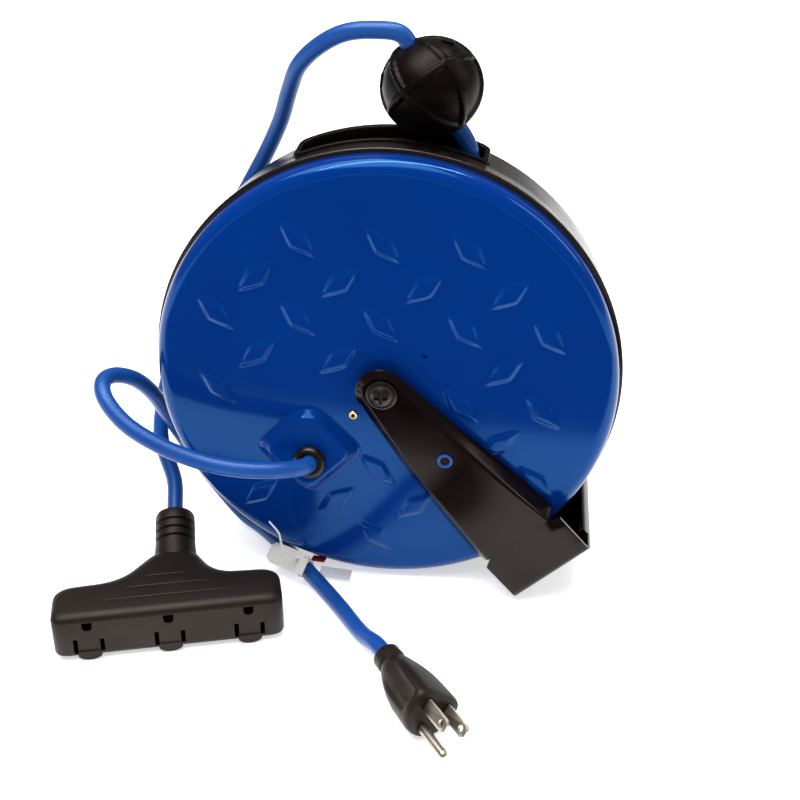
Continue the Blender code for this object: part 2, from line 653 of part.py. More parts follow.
# ---------------------------------------------------------------- ball stop
ball = np.array(BALL_CENTRE)
ball_axis = unit(BALL_AXIS)
ball_across = np.cross(ball_axis, ARM_Y)
for tag, sign in (("front", -1), ("rear", 1)):
    profile = [(0, 0.15)]
    for i in range(6):
        a = math.pi / 2 * i / 5
        if i == 5:
            profile.append((0, BALL_R))
        else:
            profile.append((BALL_R * math.cos(a), 0.15 + (BALL_R - 0.15) * math.sin(a)))
    half = revolve(f"ball_stop_{tag}", profile, ball, (0, sign, 0), 20)
    bore_ends = (ball - 40 * ball_axis, ball + 40 * ball_axis)
    cut(half, cylinder(f"h_bore_{tag}", *bore_ends, CORD_HOLE_R, 12, helper=True))
for k, side in enumerate((-1, 1)):
    at_y = ball + side * 13.0 * ball_across
    bore = revolve(f"h_ball_screw_{k}", [(0, -40), (3.4, -40), (3.4, -12), (1.9, -12), (1.9, 9), (0, 9)],
                   at_y, (0, 1, 0), 12, helper=True)
    cut(bpy.data.objects["ball_stop_front"], bore)
    cut(bpy.data.objects["ball_stop_rear"], bore)
    pan_head(f"ball_screw_{k + 1}", at_y - 11.7 * ARM_Y - 0.6 * ARM_Y, (0, -1, 0), 3.0, 2.0, 1.5, 20.0, 12)

# ---------------------------------------------------------------- triple tap
yaw_x = np.array((math.cos(TAP_YAW), math.sin(TAP_YAW), 0.0))
yaw_y = np.array((-math.sin(TAP_YAW), math.cos(TAP_YAW), 0.0))
UP = np.array((0.0, 0.0, 1.0))
tap_at = np.array(TAP_FACE)
tap_axes = (yaw_x, yaw_y, UP)


def tap_point(x, y, z):
    return tap_at + x * yaw_x + y * yaw_y + z * UP


half = TAP_HALF_WIDTH
back = TAP_DEPTH
right_side = [(half - 7, 0), (half - 2, 2), (half, 7), (half, back - 8), (half - 3, back - 2), (half - 9, back),
              (27, back + 2), (17, 40)]
left_side = [(-x, y) for x, y in reversed(right_side)]
tap_outline = right_side + [(13, 52), (-5, 52), (-13, 40)] + left_side[1:]


def tap_loop(z, inset):
    centre = np.array((0.0, 14.0))
    loop = []
    for x, y in tap_outline:
        away = np.array((x, y)) - centre
        pulled = np.array((x, y)) - unit(away) * inset
        loop.append(tap_point(pulled[0], pulled[1], z))
    return loop


tap_body = loft("tap_body", [tap_loop(0.0, 2.0), tap_loop(2.0, 0.0), tap_loop(TAP_HEIGHT - 3, 0.0),
                             tap_loop(TAP_HEIGHT, 3.0)])
neck_start = tap_point(3.6, 45.0, 12.6)
neck_end = tap_point(5.2, 76.0, 29.0)
neck_dir = unit(neck_end - neck_start)
neck_length = float(np.linalg.norm(neck_end - neck_start))
join(tap_body, revolve("h_neck", [(0, 0), (NECK_R + 1.2, 0), (NECK_R, neck_length - 4),
                                  (NECK_R - 3.4, neck_length), (0, neck_length)],
                       neck_start, neck_dir, 20, helper=True))
cut(tap_body, cylinder("h_neck_bore", neck_end - 14 * neck_dir, neck_end + 20 * neck_dir, CORD_HOLE_R, 12,
                       helper=True))
cut(tap_body, placed_box("h_pocket", tap_at, tap_axes, (-49.0, 8.6, 2.6), (49.0, 11.4, 23.4), True))
bm = bmesh.new()
for k in (-1, 0, 1):
    middle = k * OUTLET_PITCH
    wide_slot = (-SLOT_SPACING / 2, SLOT_Z, 1.2, 4.2)
    narrow_slot = (SLOT_SPACING / 2, SLOT_Z, 1.2, 3.6)
    for x, z, wide, tall in (wide_slot, narrow_slot, (0.0, GROUND_Z, 2.6, 2.6)):
        block(bm, (middle + x - wide, -5.0, z - tall), (middle + x + wide, 9.0, z + tall))
cut(tap_body, add_mesh("h_slots", bm, tap_at, turned(*tap_axes), True))


def tap_strip(name, shape):
    """A flat contact strip inside the tap, given by its outline along and up the tap."""
    loops = []
    for y in (9.2, 10.8):
        loops.append([tap_point(x, y, z) for x, z in shape])
    return loft(name, loops)


line_shape = [(-47.0, 3.0), (47.0, 3.0)]
neutral_shape = [(-47.0, 16.6), (47.0, 16.6)]
line_top = []
neutral_low = []
for k in (1, 0, -1):
    x = k * OUTLET_PITCH + SLOT_SPACING / 2
    line_top += [(x + 2.0, 4.4), (x + 2.0, 12.6), (x - 2.0, 12.6), (x - 2.0, 4.4)]
    x = k * OUTLET_PITCH - SLOT_SPACING / 2
    neutral_low += [(x + 2.0, 15.0), (x + 2.0, 5.4), (x - 2.0, 5.4), (x - 2.0, 15.0)]
tap_strip("tap_contact_line", line_shape + [(47.0, 4.4)] + line_top + [(-47.0, 4.4)])
tap_strip("tap_contact_neutral", neutral_shape + [(47.0, 15.0)] + neutral_low + [(-47.0, 15.0)])
tap_strip("tap_contact_ground", [(-47.0, 17.8), (47.0, 17.8), (47.0, 22.6), (-47.0, 22.6)])

# ---------------------------------------------------------------- plug
plug_f = unit(PLUG_FORWARD)
level = np.cross(UP, plug_f)
plug_u = math.cos(PLUG_ROLL) * UP - math.sin(PLUG_ROLL) * level
plug_s = np.cross(plug_u, plug_f)
plug_at = np.array(PLUG_FACE)
plug_axes = (plug_f, plug_s, plug_u)


def plug_section(a, wide, low, high, square):
    """A D: round towards the ground pin, flat on the blade side."""
    loop = []
    for i in range(16):
        t = 2 * math.pi * i / 16
        c = math.cos(t)
        s = math.sin(t)
        if s >= 0:
            power = square
            x = wide * math.copysign(abs(c) ** power, c)
            z = high * abs(s) ** power
        else:
            x = wide * c
            z = low * s
        loop.append(plug_at + a * plug_f + x * plug_s + z * plug_u)
    return loop


PLUG_SECTIONS = ((0.0, 13.0, 13.0, 9.4, 0.45), (-3.0, 13.4, 13.4, 9.8, 0.45), (-16.0, 13.2, 13.0, 9.6, 0.5),
                 (-28.0, 10.6, 10.0, 8.4, 0.65), (-36.0, 7.4, 7.2, 6.8, 0.9), (-37.5, 6.0, 6.0, 6.0, 1.0),
                 (-38.5, 6.9, 6.9, 6.9, 1.0), (-45.0, 6.7, 6.7, 6.7, 1.0))
plug_body = loft("plug_body", [plug_section(*section) for section in PLUG_SECTIONS])
cord_bore = cylinder("h_plug_bore", plug_at - 60 * plug_f, plug_at - 36 * plug_f, CORD_HOLE_R, 12, helper=True)
cut(plug_body, cord_bore)
for tag, s in (("line", -SLOT_SPACING / 2), ("neutral", SLOT_SPACING / 2)):
    cut(plug_body, placed_box(f"h_blade_{tag}", plug_at, plug_axes, (-8.0, s - 1.1, BLADE_U - 3.5),
                              (5.0, s + 1.1, BLADE_U + 3.5), True))
    blade = placed_box(f"plug_blade_{tag}", plug_at, plug_axes, (-7.7, s - 0.75, BLADE_U - 3.17),
                       (17.4, s + 0.75, BLADE_U + 3.17))
    hole = plug_at + 13.4 * plug_f + BLADE_U * plug_u
    cut(blade, cylinder(f"h_blade_hole_{tag}", hole - 20 * plug_s, hole + 20 * plug_s, 1.6, 10, helper=True))
pin = plug_at + PIN_U * plug_u
cut(plug_body, cylinder("h_pin_bore", pin - 8 * plug_f, pin + 5 * plug_f, 2.7, 12, helper=True))
revolve("plug_ground_pin", [(0, -7.7), (2.38, -7.7), (2.38, 18.8), (1.5, 20.6), (0, 20.6)], pin, plug_f, 12)

# ---------------------------------------------------------------- cords
tail = plug_at - 45.0 * plug_f
lead_points = [
    entry - 13.5 * entry_axis,
    entry,
    entry + 9.0 * entry_axis,
    (-46.0, -58.5, AXLE_Z - 35.5),
    (-67.0, -62.5, AXLE_Z - 34.0),
    (-87.0, -62.0, AXLE_Z - 31.0),
    (-107.0, -60.0, AXLE_Z - 24.5),
    (-125.0, -55.0, AXLE_Z - 16.0),
    (-137.0, -46.0, AXLE_Z - 7.0),
    (-140.0, -37.0, AXLE_Z - 3.5),
    (-137.5, -28.0, AXLE_Z - 4.5),
    (-131.0, -19.0, AXLE_Z - 10.5),
    (-125.5, -10.0, AXLE_Z - 22.0),
    (-121.0, 0.0, AXLE_Z - 40.0),
    (-112.5, 8.0, AXLE_Z - 66.0),
    (-98.0, 10.0, AXLE_Z - 92.0),
    (-84.0, 6.0, AXLE_Z - 107.0),
    (-70.0, -4.0, 6.0),
    (-46.0, -32.0, 5.8),
    (-20.0, -65.0, 4.8),
    (tail - 26.0 * plug_f) * (1, 1, 0) + np.array((0, 0, 8.0)),
    tail - 10.0 * plug_f + np.array((0, 0, -0.8)),
    tail + 1.0 * plug_f,
    tail + 7.5 * plug_f,
]
lead_path = spline(lead_points, 2)
cord("lead_cord", lead_path)

output_points = [
    (76.5, 5.5, AXLE_Z + 64.2),
    (64.3, 6.5, AXLE_Z + 76.6),
    (51.0, 8.0, AXLE_Z + 86.2),
    (40.0, 9.3, AXLE_Z + 95.0),
    ball - 33.0 * ball_axis,
    ball - 20.0 * ball_axis,
    ball,
    ball + 16.0 * ball_axis,
    ball + 26.5 * ball_axis,
    (-9.0, 10.5, AXLE_Z + 161.5),
    (-22.5, 12.0, AXLE_Z + 159.5),
    (-35.0, 15.5, AXLE_Z + 152.5),
    (-46.0, 21.0, AXLE_Z + 141.5),
    (-52.5, 28.0, AXLE_Z + 127.5),
    (-58.5, 34.0, AXLE_Z + 111.0),
    (-67.0, 37.5, AXLE_Z + 93.5),
    (-78.0, 38.5, AXLE_Z + 74.0),
    (-95.0, 37.5, AXLE_Z + 44.0),
    (-110.0, 34.0, AXLE_Z + 12.0),
    (-120.5, 26.0, AXLE_Z - 16.0),
    (-125.5, 14.0, AXLE_Z - 38.0),
    (-126.0, 2.0, AXLE_Z - 58.0),
    neck_end + 18.0 * neck_dir + np.array((0, 0, 3.0)),
    neck_end + 5.0 * neck_dir,
    neck_end - 13.5 * neck_dir,
]
output_path = spline(output_points, 2)
cord("output_cord", output_path)

# ---------------------------------------------------------------- blank tag on the lead cord
tag_spot = min(range(len(lead_path)), key=lambda i: float(np.linalg.norm(lead_path[i] - (-42.0, -37.0, 5.6))))
tag_at = lead_path[tag_spot]
tag_along = unit(lead_path[tag_spot + 1] - lead_path[tag_spot - 1])
revolve("tag_tie", [(4.6, -1.3), (5.6, -1.3), (5.6, 1.3), (4.6, 1.3)], tag_at, tag_along, 16)
card_along = unit(TAG_ALONG)
card_lean = unit(TAG_LEAN - np.dot(TAG_LEAN, card_along) * card_along)
placed_box("blank_tag", TAG_CORNER, (card_along, card_lean, np.cross(card_along, card_lean)),
           (0.0, 0.0, -0.3), (TAG_SIZE[0], TAG_SIZE[1], 0.3))

# ---------------------------------------------------------------- finishes
DRESSED = {
    "blue_enamel": ["front_cover"],
    "black_shell": ["rear_housing"],
    "black_paint": ["bracket"],
    "blue_grommet": ["bracket_eyelet"],
    "blue_cord": ["lead_cord", "output_cord", "wound_cord"],
    "black_rubber": ["tap_body", "plug_body"],
    "white_nylon": ["tag_tie"],
    "white_card": ["blank_tag"],
    "black_plastic": ["mouth_guide", "ball_stop_front", "ball_stop_rear", "strain_relief", "spool_hub",
                      "spool_flange_front", "spool_flange_rear", "slip_ring_disc", "brush_holder"],
    "steel": ["axle", "spring_arbor", "pawl_pin", "ratchet_wheel", "pawl", "mainspring"],
    "nylon": ["hub_spacer_front", "hub_spacer_rear"],
    "carbon": ["brush_1", "brush_2", "brush_3"],
    "brass": ["brass_eyelet", "slip_ring_1", "slip_ring_2", "slip_ring_3", "plug_blade_line",
              "plug_blade_neutral", "plug_ground_pin", "tap_contact_line", "tap_contact_neutral",
              "tap_contact_ground"],
    "black_screws": ["hub_screw_front", "hub_screw_rear", "hub_washer_front", "hub_washer_rear",
                     "case_screw_1", "case_screw_2", "case_screw_3", "case_screw_4", "ball_screw_1",
                     "ball_screw_2"],
}
for finish, names in DRESSED.items():
    colour, roughness, metallic = FINISHES[finish]
    for name in names:
        material = bpy.data.materials.new(name)
        material.use_nodes = True
        shader = material.node_tree.nodes["Principled BSDF"]
        shader.inputs["Base Color"].default_value = colour
        shader.inputs["Roughness"].default_value = roughness
        shader.inputs["Metallic"].default_value = metallic
        material.diffuse_color = colour
        bpy.data.objects[name].data.materials.append(material)

# ---------------------------------------------------------------- moving pieces hang from their joints
PIVOTS = {
    "bracket_pivot": ((0, 0, AXLE_Z), ["bracket", "bracket_eyelet"]),
    "spool_axis": ((0, 0, AXLE_Z), ["spool_hub", "spool_flange_front", "spool_flange_rear", "wound_cord",
                                    "slip_ring_disc", "slip_ring_1", "slip_ring_2", "slip_ring_3",
                                    "ratchet_wheel"]),
    "pawl_axis": ((PAWL_AT[0], 0, AXLE_Z + PAWL_AT[1]), ["pawl"]),
}
for pivot_name, (spot, names) in PIVOTS.items():
    pivot = add_empty(pivot_name, spot, reel)
    for name in names:
        piece = bpy.data.objects[name]
        piece.parent = pivot
        piece.location = piece.location - pivot.location
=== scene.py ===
"""Retractable extension cord reel: the fine surfaces, materials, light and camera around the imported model.

Lengths are in millimetres in the drum's own datum and become metres in the frame as each piece is made. The
axle lies along Y at AXLE_Z, the blue cover faces -Y and everything stands on Z = 0.
"""

import json
from math import copysign, cos, hypot, pi, radians, sin, sqrt

import bmesh
import bpy
import numpy as np
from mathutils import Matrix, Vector
from mathutils.geometry import delaunay_2d_cdt


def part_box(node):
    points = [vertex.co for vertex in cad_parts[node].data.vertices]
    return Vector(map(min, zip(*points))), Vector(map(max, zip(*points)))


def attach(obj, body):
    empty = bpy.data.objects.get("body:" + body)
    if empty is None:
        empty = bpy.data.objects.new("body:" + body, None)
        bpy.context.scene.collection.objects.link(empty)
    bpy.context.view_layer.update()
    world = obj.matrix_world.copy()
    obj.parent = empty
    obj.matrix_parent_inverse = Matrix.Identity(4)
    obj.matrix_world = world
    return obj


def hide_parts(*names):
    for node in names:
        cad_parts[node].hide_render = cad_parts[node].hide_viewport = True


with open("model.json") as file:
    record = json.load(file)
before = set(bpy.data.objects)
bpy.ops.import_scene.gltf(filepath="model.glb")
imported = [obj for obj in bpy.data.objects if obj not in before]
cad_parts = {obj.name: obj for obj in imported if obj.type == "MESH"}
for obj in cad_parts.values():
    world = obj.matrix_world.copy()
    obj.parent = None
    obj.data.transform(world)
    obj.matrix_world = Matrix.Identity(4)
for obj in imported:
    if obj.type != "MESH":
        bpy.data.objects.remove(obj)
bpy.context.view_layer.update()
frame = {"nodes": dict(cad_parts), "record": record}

MM = 0.001


def vec(*values):
    return np.array(values, float)


# Driving dimensions
COVER_R = 114.0
COVER_FACE_Y = -32.5
COVER_REAR_Y = -20.5
COVER_CORNER_R = 7.0
COVER_T = 1.5
LIP_R = 116.0
LIP_Y = (-20.2, -17.7)
TUB_R_FRONT = 115.0
TUB_R_REAR = 111.5
TUB_CORNER_R = 6.0
TUB_BACK_Y = 27.0
TUB_T = 1.8
MID_Y = 0.5 * (COVER_FACE_Y + TUB_BACK_Y)
BORE_R = 6.08
MOUTH_HALF = radians(24.3)
MOUTH_Y = (-3.7, 20.3)
ARM_ANGLE = radians(-47.5)
ARM_LENGTH = 130.0
FLANGE_END = 104.0
SHOULDER = 3.0
SHEET_T = 2.0
WEB_Y = (-41.5, -47.0)
RIM_Y = (-38.5, -33.8)
ARM_STATIONS = (0.0, 38.0, 75.0, FLANGE_END, FLANGE_END + SHOULDER, ARM_LENGTH)
FACE_UPPER = (7.6, 9.0, 12.8, 17.4, 23.3, 23.3)
FACE_LOWER = (8.6, 15.0, 18.2, 19.6, 24.8, 24.8)
RIM_UPPER = (11.6, 14.4, 18.4, 20.4, 23.7, 23.7)
RIM_LOWER = (13.6, 21.0, 26.4, 29.6, 25.2, 25.2)
BASE_EDGES = (-25.0, 23.5)
BASE_HOLE_R = 3.25
BASE_HOLE_Y = -24.0
LIP_T = 2.0
EYELET_S = 46.5
SCREW_SEAT_Y = -43.7
CASE_SCREW_AT = 92.0
BRASS_SPOT = (-15.4, -17.3)
PINHOLE_SPOT = (20.1, 17.0)
CORD_R = 4.2
WOUND_TOP = 90.8
WOUND_Y = (-7.1, 19.8)
BALL_R = 24.5
BALL_SKIN = 1.5
BALL_SQUASH = vec(1.0, 1.0, 0.95)
BALL_DROP = vec(0.0, 0.0, -1.0)
TAP_HALF = 56.0
TAP_DEPTH = 27.0
TAP_TOP = 26.0
OUTLET_PITCH = 38.8
SLOT_SPACING = 12.7
SLOT_Z = 8.2
GROUND_HOLE_Z = 20.1
BLADE_U = 3.6
PIN_DROP = 11.9
PLUG_LENGTH = 45.0
TAG_CORNER = vec(-61.8, -35.5, 5.0)
TAG_ALONG = vec(24.1, -17.1, 4.0)
TAG_LEAN = vec(4.1, 7.5, 7.4)
TAG_SIZE = (27.0, 11.5)

# The drum's datum in the frame
tub_low, tub_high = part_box("rear_housing")
AXLE_Z = (tub_low[2] + tub_high[2]) / 2 / MM
SHIFT_Y = tub_high[1] / MM - TUB_BACK_Y
HUB = vec(0.0, 0.0, AXLE_Z)
UP = vec(0.0, 0.0, 1.0)
ALONG_Y = vec(0.0, 1.0, 0.0)

# Stage, in metres, watts and millimetres of lens
FLOOR_DROP = 0.0004
FLOOR_GLOW = 0.52
LIGHTS = (
    ("overhead", (-0.35, -0.25, 1.9), (0, 0, 0.1), (1.8, 1.5), 44.0),
    ("strip", (-0.1, 0.1, 1.7), (0, 0, 0.2), (2.2, 0.12), 22.0),
    ("side", (1.3, 0.2, 1.0), (0, 0, 0.15), (0.3, 0.9), 4.0),
)
CAMERA_AT = (0.0673, -0.5847, 0.4190)
CAMERA_AZIMUTH = radians(6.1)
CAMERA_ELEVATION = radians(29.1)
CAMERA_LENS = 58.5


def place(point):
    """A point of the drum's datum, in millimetres, as metres in the frame."""
    return (float(point[0]) * MM, (float(point[1]) + SHIFT_Y) * MM, float(point[2]) * MM)


def unit(vector):
    vector = np.array(vector, float)
    return vector / np.linalg.norm(vector)


def side_y(y, rear):
    """A depth at the front, or its mirror image at the rear."""
    return 2 * MID_Y - y if rear else y


def frame_of(axis):
    """Two directions square to an axis and to each other."""
    axis = unit(axis)
    first = unit(np.cross(axis, (0.0, 0.0, 1.0) if abs(axis[2]) < 0.9 else (1.0, 0.0, 0.0)))
    return first, np.cross(axis, first)


# ---------------- materials
def new_material(name, colour, roughness, metallic=0.0, specular=0.5, tint=(1.0, 1.0, 1.0)):
    material = bpy.data.materials.new(name)
    material.use_nodes = True
    shader = material.node_tree.nodes["Principled BSDF"]
    shader.inputs["Base Color"].default_value = (*colour, 1.0)
    shader.inputs["Roughness"].default_value = roughness
    shader.inputs["Metallic"].default_value = metallic
    shader.inputs["Specular IOR Level"].default_value = specular
    shader.inputs["Specular Tint"].default_value = (*tint, 1.0)
    material.diffuse_color = (*colour, 1.0)
    return material


def through_noise(material, scale, detail, kind, entry, leave, target):
    """Noise sent through a node of some kind into one input of the shader; gives the node back to be set."""
    nodes = material.node_tree.nodes
    links = material.node_tree.links
    coords = nodes.new("ShaderNodeTexCoord")
    noise = nodes.new("ShaderNodeTexNoise")
    noise.inputs["Scale"].default_value = scale
    noise.inputs["Detail"].default_value = detail
    node = nodes.new(kind)
    links.new(coords.outputs["Object"], noise.inputs["Vector"])
    links.new(noise.outputs[0], node.inputs[entry])
    links.new(node.outputs[leave], nodes["Principled BSDF"].inputs[target])
    return node


def vary_roughness(material, scale, low, high):
    node = through_noise(material, scale, 4.0, "ShaderNodeMapRange", "Value", 0, "Roughness")
    node.inputs["To Min"].default_value = low
    node.inputs["To Max"].default_value = high


def vary_colour(material, scale, one, two):
    node = through_noise(material, scale, 6.0, "ShaderNodeValToRGB", "Fac", "Color", "Base Color")
    for element, position, colour in zip(node.color_ramp.elements, (0.35, 0.65), (one, two)):
        element.position = position
        element.color = (*colour, 1.0)


def add_bump(material, scale, distance, strength, detail):
    node = through_noise(material, scale, detail, "ShaderNodeBump", "Height", "Normal", "Normal")
    node.inputs["Strength"].default_value = strength
    node.inputs["Distance"].default_value = distance


def blue_enamel():
    made = new_material("blue_enamel", (0.0002, 0.0215, 0.156), 0.13, specular=0.55, tint=(0.12, 0.5, 1.0))
    vary_roughness(made, 60.0, 0.1, 0.17)
    vary_colour(made, 14.0, (0.0002, 0.0200, 0.148), (0.0002, 0.0230, 0.164))
    add_bump(made, 420.0, 0.00003, 0.3, 2.0)
    return made


def warm_black(name, colour, roughness, specular, bump):
    made = new_material(name, colour, roughness, specular=specular, tint=(1.0, 0.84, 0.78))
    vary_roughness(made, 70.0, max(roughness - 0.07, 0.08), roughness + 0.1)
    vary_colour(made, 25.0, tuple(0.75 * c for c in colour), tuple(1.3 * c for c in colour))
    add_bump(made, 900.0, bump, 0.4, 2.0)
    return made


def blue_cord():
    made = new_material("blue_cord", (0.004, 0.05, 0.235), 0.33, specular=0.4, tint=(0.55, 0.75, 1.0))
    vary_roughness(made, 120.0, 0.27, 0.4)
    vary_colour(made, 40.0, (0.004, 0.045, 0.215), (0.006, 0.056, 0.255))
    add_bump(made, 900.0, 0.00007, 0.5, 3.0)
    return made


def metal(name, colour, roughness):
    made = new_material(name, colour, roughness, metallic=1.0)
    vary_roughness(made, 200.0, roughness - 0.08, roughness + 0.1)
    vary_colour(made, 90.0, tuple(0.82 * c for c in colour), colour)
    add_bump(made, 1200.0, 0.00003, 0.4, 3.0)
    return made


def plain(name, colour, roughness, bump_scale=700.0, bump=0.00005, specular=0.4):
    made = new_material(name, colour, roughness, specular=specular)
    vary_roughness(made, 80.0, roughness - 0.06, roughness + 0.08)
    vary_colour(made, 60.0, tuple(0.97 * c for c in colour), colour)
    add_bump(made, bump_scale, bump, 0.5, 3.0)
    return made


BLACKS = {
    "black_shell": ((0.006, 0.0036, 0.003), 0.24, 0.36, 0.00001),
    "black_paint": ((0.0028, 0.0010, 0.0009), 0.17, 0.23, 0.00002),
    "black_plastic": ((0.0018, 0.0007, 0.0006), 0.36, 0.1, 0.00004),
    "nylon": ((0.006, 0.005, 0.005), 0.5, 0.25, 0.00004),
    "black_rubber": ((0.0085, 0.0050, 0.0038), 0.46, 0.25, 0.00006),
    "black_screws": ((0.005, 0.004, 0.004), 0.3, 0.45, 0.00004),
}
METALS = {
    "steel": ((0.55, 0.55, 0.56), 0.32),
    "brass": ((0.80, 0.58, 0.24), 0.28),
    "nickel": ((0.50, 0.45, 0.37), 0.34),
}
PLAINS = {
    "blue_grommet": ((0.004, 0.045, 0.20), 0.35),
    "carbon": ((0.03, 0.03, 0.03), 0.7),
    "white_card": ((0.56, 0.55, 0.52), 0.7, 500.0),
    "white_nylon": ((0.62, 0.64, 0.65), 0.35),
    "red_print": ((0.22, 0.006, 0.010), 0.6),
    "clear_sleeve": ((0.50, 0.51, 0.55), 0.22),
    # painted shade: the near-black of the disc set into the bracket's eyelet
    "painted_eyelet_shade": ((0.003, 0.003, 0.003), 0.8, 700.0, 0.00005, 0.1),
}
MATERIALS = {"blue_enamel": blue_enamel(), "blue_cord": blue_cord()}
for make, table in ((warm_black, BLACKS), (metal, METALS), (plain, PLAINS)):
    for name, values in table.items():
        MATERIALS[name] = make(name, *values)


# ---------------- building pieces
def link_object(name, data):
    made = bpy.data.objects.new(name, data)
    bpy.context.scene.collection.objects.link(made)
    return made


def link_mesh(name, bm):
    """A new object of a finished bmesh, which is freed."""
    data = bpy.data.meshes.new(name)
    bm.to_mesh(data)
    bm.free()
    return link_object(name, data)


def mesh_of(name, shape, merge):
    """An object from (points, faces), turned to face outward, with doubled points merged if asked."""
    points, faces = shape
    bm = bmesh.new()
    corners = [bm.verts.new(place(p)) for p in points]
    for face in faces:
        bm.faces.new([corners[i] for i in face])
    if merge:
        bmesh.ops.remove_doubles(bm, verts=bm.verts, dist=0.01 * MM)
    bmesh.ops.recalc_face_normals(bm, faces=bm.faces)
    return link_mesh(name, bm)


def smooth(data, sharp):
    data.shade_smooth()
    data.set_sharp_from_angle(angle=radians(sharp))


def add_piece(name, shape, slot, *replaced, body="housing", look=None, sharp=38.0):
    """A smooth piece that rides on a body, takes a slot's look and may stand for nodes of the part."""
    made = mesh_of(name, shape, True)
    smooth(made.data, sharp)
    return dress(made, slot, *replaced, body=body, look=look)


def dress(made, slot, *replaced, body="housing", look=None):
    made.data.materials.clear()
    made.data.materials.append(MATERIALS[look or slot])
    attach(made, body)
    if replaced:
        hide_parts(*replaced)
    return made


def combine(*shapes):
    points = []
    faces = []
    for more_points, more_faces in shapes:
        first = len(points)
        points += [np.array(p, float) for p in more_points]
        faces += [tuple(first + i for i in face) for face in more_faces]
    return points, faces


def sweep(loops, closed=False, caps=True, open_loops=False):
    """Quads between successive loops, with a face over each end unless the sweep closes on itself."""
    count = len(loops[0])
    points = [p for loop in loops for p in loop]
    faces = []
    rows = len(loops) if closed else len(loops) - 1
    for k in range(rows):
        here = k * count
        there = (k + 1) % len(loops) * count
        for i in range(count - 1 if open_loops else count):
            j = (i + 1) % count
            faces.append((here + i, here + j, there + j, there + i))
    if caps and not closed:
        faces.append(tuple(range(count)))
        faces.append(tuple(range((len(loops) - 1) * count, len(loops) * count)))
    return points, faces


def lathe(profile, centre, axis=(0, 1, 0), steps=64):
    """A closed (radius, height) profile turned about an axis."""
    axis = unit(axis)
    side, up = frame_of(axis)
    points = []
    rows = []
    for radius, height in profile:
        if radius < 1e-6:
            points.append(np.array(centre) + axis * height)
            rows.append([len(points) - 1] * steps)
            continue
        rows.append(list(range(len(points), len(points) + steps)))
        for i in range(steps):
            a = 2 * pi * i / steps
            points.append(np.array(centre) + axis * height + radius * (cos(a) * side + sin(a) * up))
    faces = []
    for k, one in enumerate(rows):
        two = rows[(k + 1) % len(rows)]
        for i in range(steps):
            j = (i + 1) % steps
            face = []
            for corner in (one[i], one[j], two[j], two[i]):
                if corner not in face:
                    face.append(corner)
            if len(face) > 2:
                faces.append(tuple(face))
    return points, faces


def circle(radius, count, centre=(0.0, 0.0)):
    """Points round a full circle in a plane."""
    turns = [2 * pi * i / count for i in range(count)]
    return [(centre[0] + radius * cos(a), centre[1] + radius * sin(a)) for a in turns]


def rod(radius, low, high):
    """The closed profile of a solid rod, for a lathe."""
    return [(0, low), (radius, low), (radius, high), (0, high)]


def arc(centre, radius, start, end, count):
    """Points of an arc in a plane, with angles in degrees."""
    out = []
    for i in range(count + 1):
        a = radians(start + (end - start) * i / count)
        out.append((centre[0] + radius * cos(a), centre[1] + radius * sin(a)))
    return out


def rounded(corners, radius, count=5):
    """A closed outline with rounded corners; radius is one number or one for each corner."""
    out = []
    for k, here in enumerate(corners):
        here = np.array(here, float)
        before = np.array(corners[k - 1], float) - here
        after = np.array(corners[(k + 1) % len(corners)], float) - here
        reach = radius[k] if isinstance(radius, (list, tuple)) else radius
        near = here + unit(before) * min(reach, 0.48 * np.linalg.norm(before))
        far = here + unit(after) * min(reach, 0.48 * np.linalg.norm(after))
        for i in range(count + 1):
            w = i / count
            out.append(tuple((1 - w) ** 2 * near + 2 * w * (1 - w) * here + w ** 2 * far))
    return out


def slab(low, high, axes, origin, edge=0.4):
    """A box with chamfered edges in a local frame."""
    loops = []
    for w, inset in ((low[2], edge), (low[2] + edge, 0.0), (high[2] - edge, 0.0), (high[2], edge)):
        corners = [(low[0] + inset, low[1] + inset), (high[0] - inset, low[1] + inset),
                   (high[0] - inset, high[1] - inset), (low[0] + inset, high[1] - inset)]
        loop = rounded(corners, max(edge - inset, 0.05) + 0.2, 2)
        loops.append([origin + a * axes[0] + b * axes[1] + w * axes[2] for a, b in loop])
    return sweep(loops)


def apply_modifiers(made):
    bpy.context.view_layer.update()
    graph = bpy.context.evaluated_depsgraph_get()
    data = bpy.data.meshes.new_from_object(made.evaluated_get(graph))
    made.modifiers.clear()
    made.data = data


def carve(made, *shapes, sharp=38.0):
    """Cuts the shapes out of a piece."""
    tools = []
    for k, shape in enumerate(shapes):
        tool = mesh_of(f"cutter_{made.name}_{k}", shape, False)
        modifier = made.modifiers.new(tool.name, "BOOLEAN")
        modifier.operation = "DIFFERENCE"
        modifier.solver = "EXACT"
        modifier.object = tool
        tools.append(tool)
    apply_modifiers(made)
    smooth(made.data, sharp)
    for tool in tools:
        bpy.data.objects.remove(tool)


def spline(points, per_span):
    """A centripetal Catmull-Rom curve through the points, sampled per_span times between each pair."""
    points = [np.array(p, float) for p in points]
    points = [2 * points[0] - points[1]] + points + [2 * points[-1] - points[-2]]
    stages = (((0, 1), (1, 2), (2, 3)), ((0, 2), (1, 3)), ((1, 2),))
    out = []
    for k in range(1, len(points) - 2):
        near = points[k - 1:k + 3]
        knots = [0.0]
        for one, two in zip(near, near[1:]):
            knots.append(knots[-1] + sqrt(np.linalg.norm(two - one)))
        for i in range(per_span):
            t = knots[1] + (knots[2] - knots[1]) * i / per_span
            level = near
            for pairs in stages:
                level = [((knots[b] - t) * one + (t - knots[a]) * two) / (knots[b] - knots[a])
                         for (a, b), one, two in zip(pairs, level, level[1:])]
            out.append(level[0])
    out.append(points[-2])
    return out


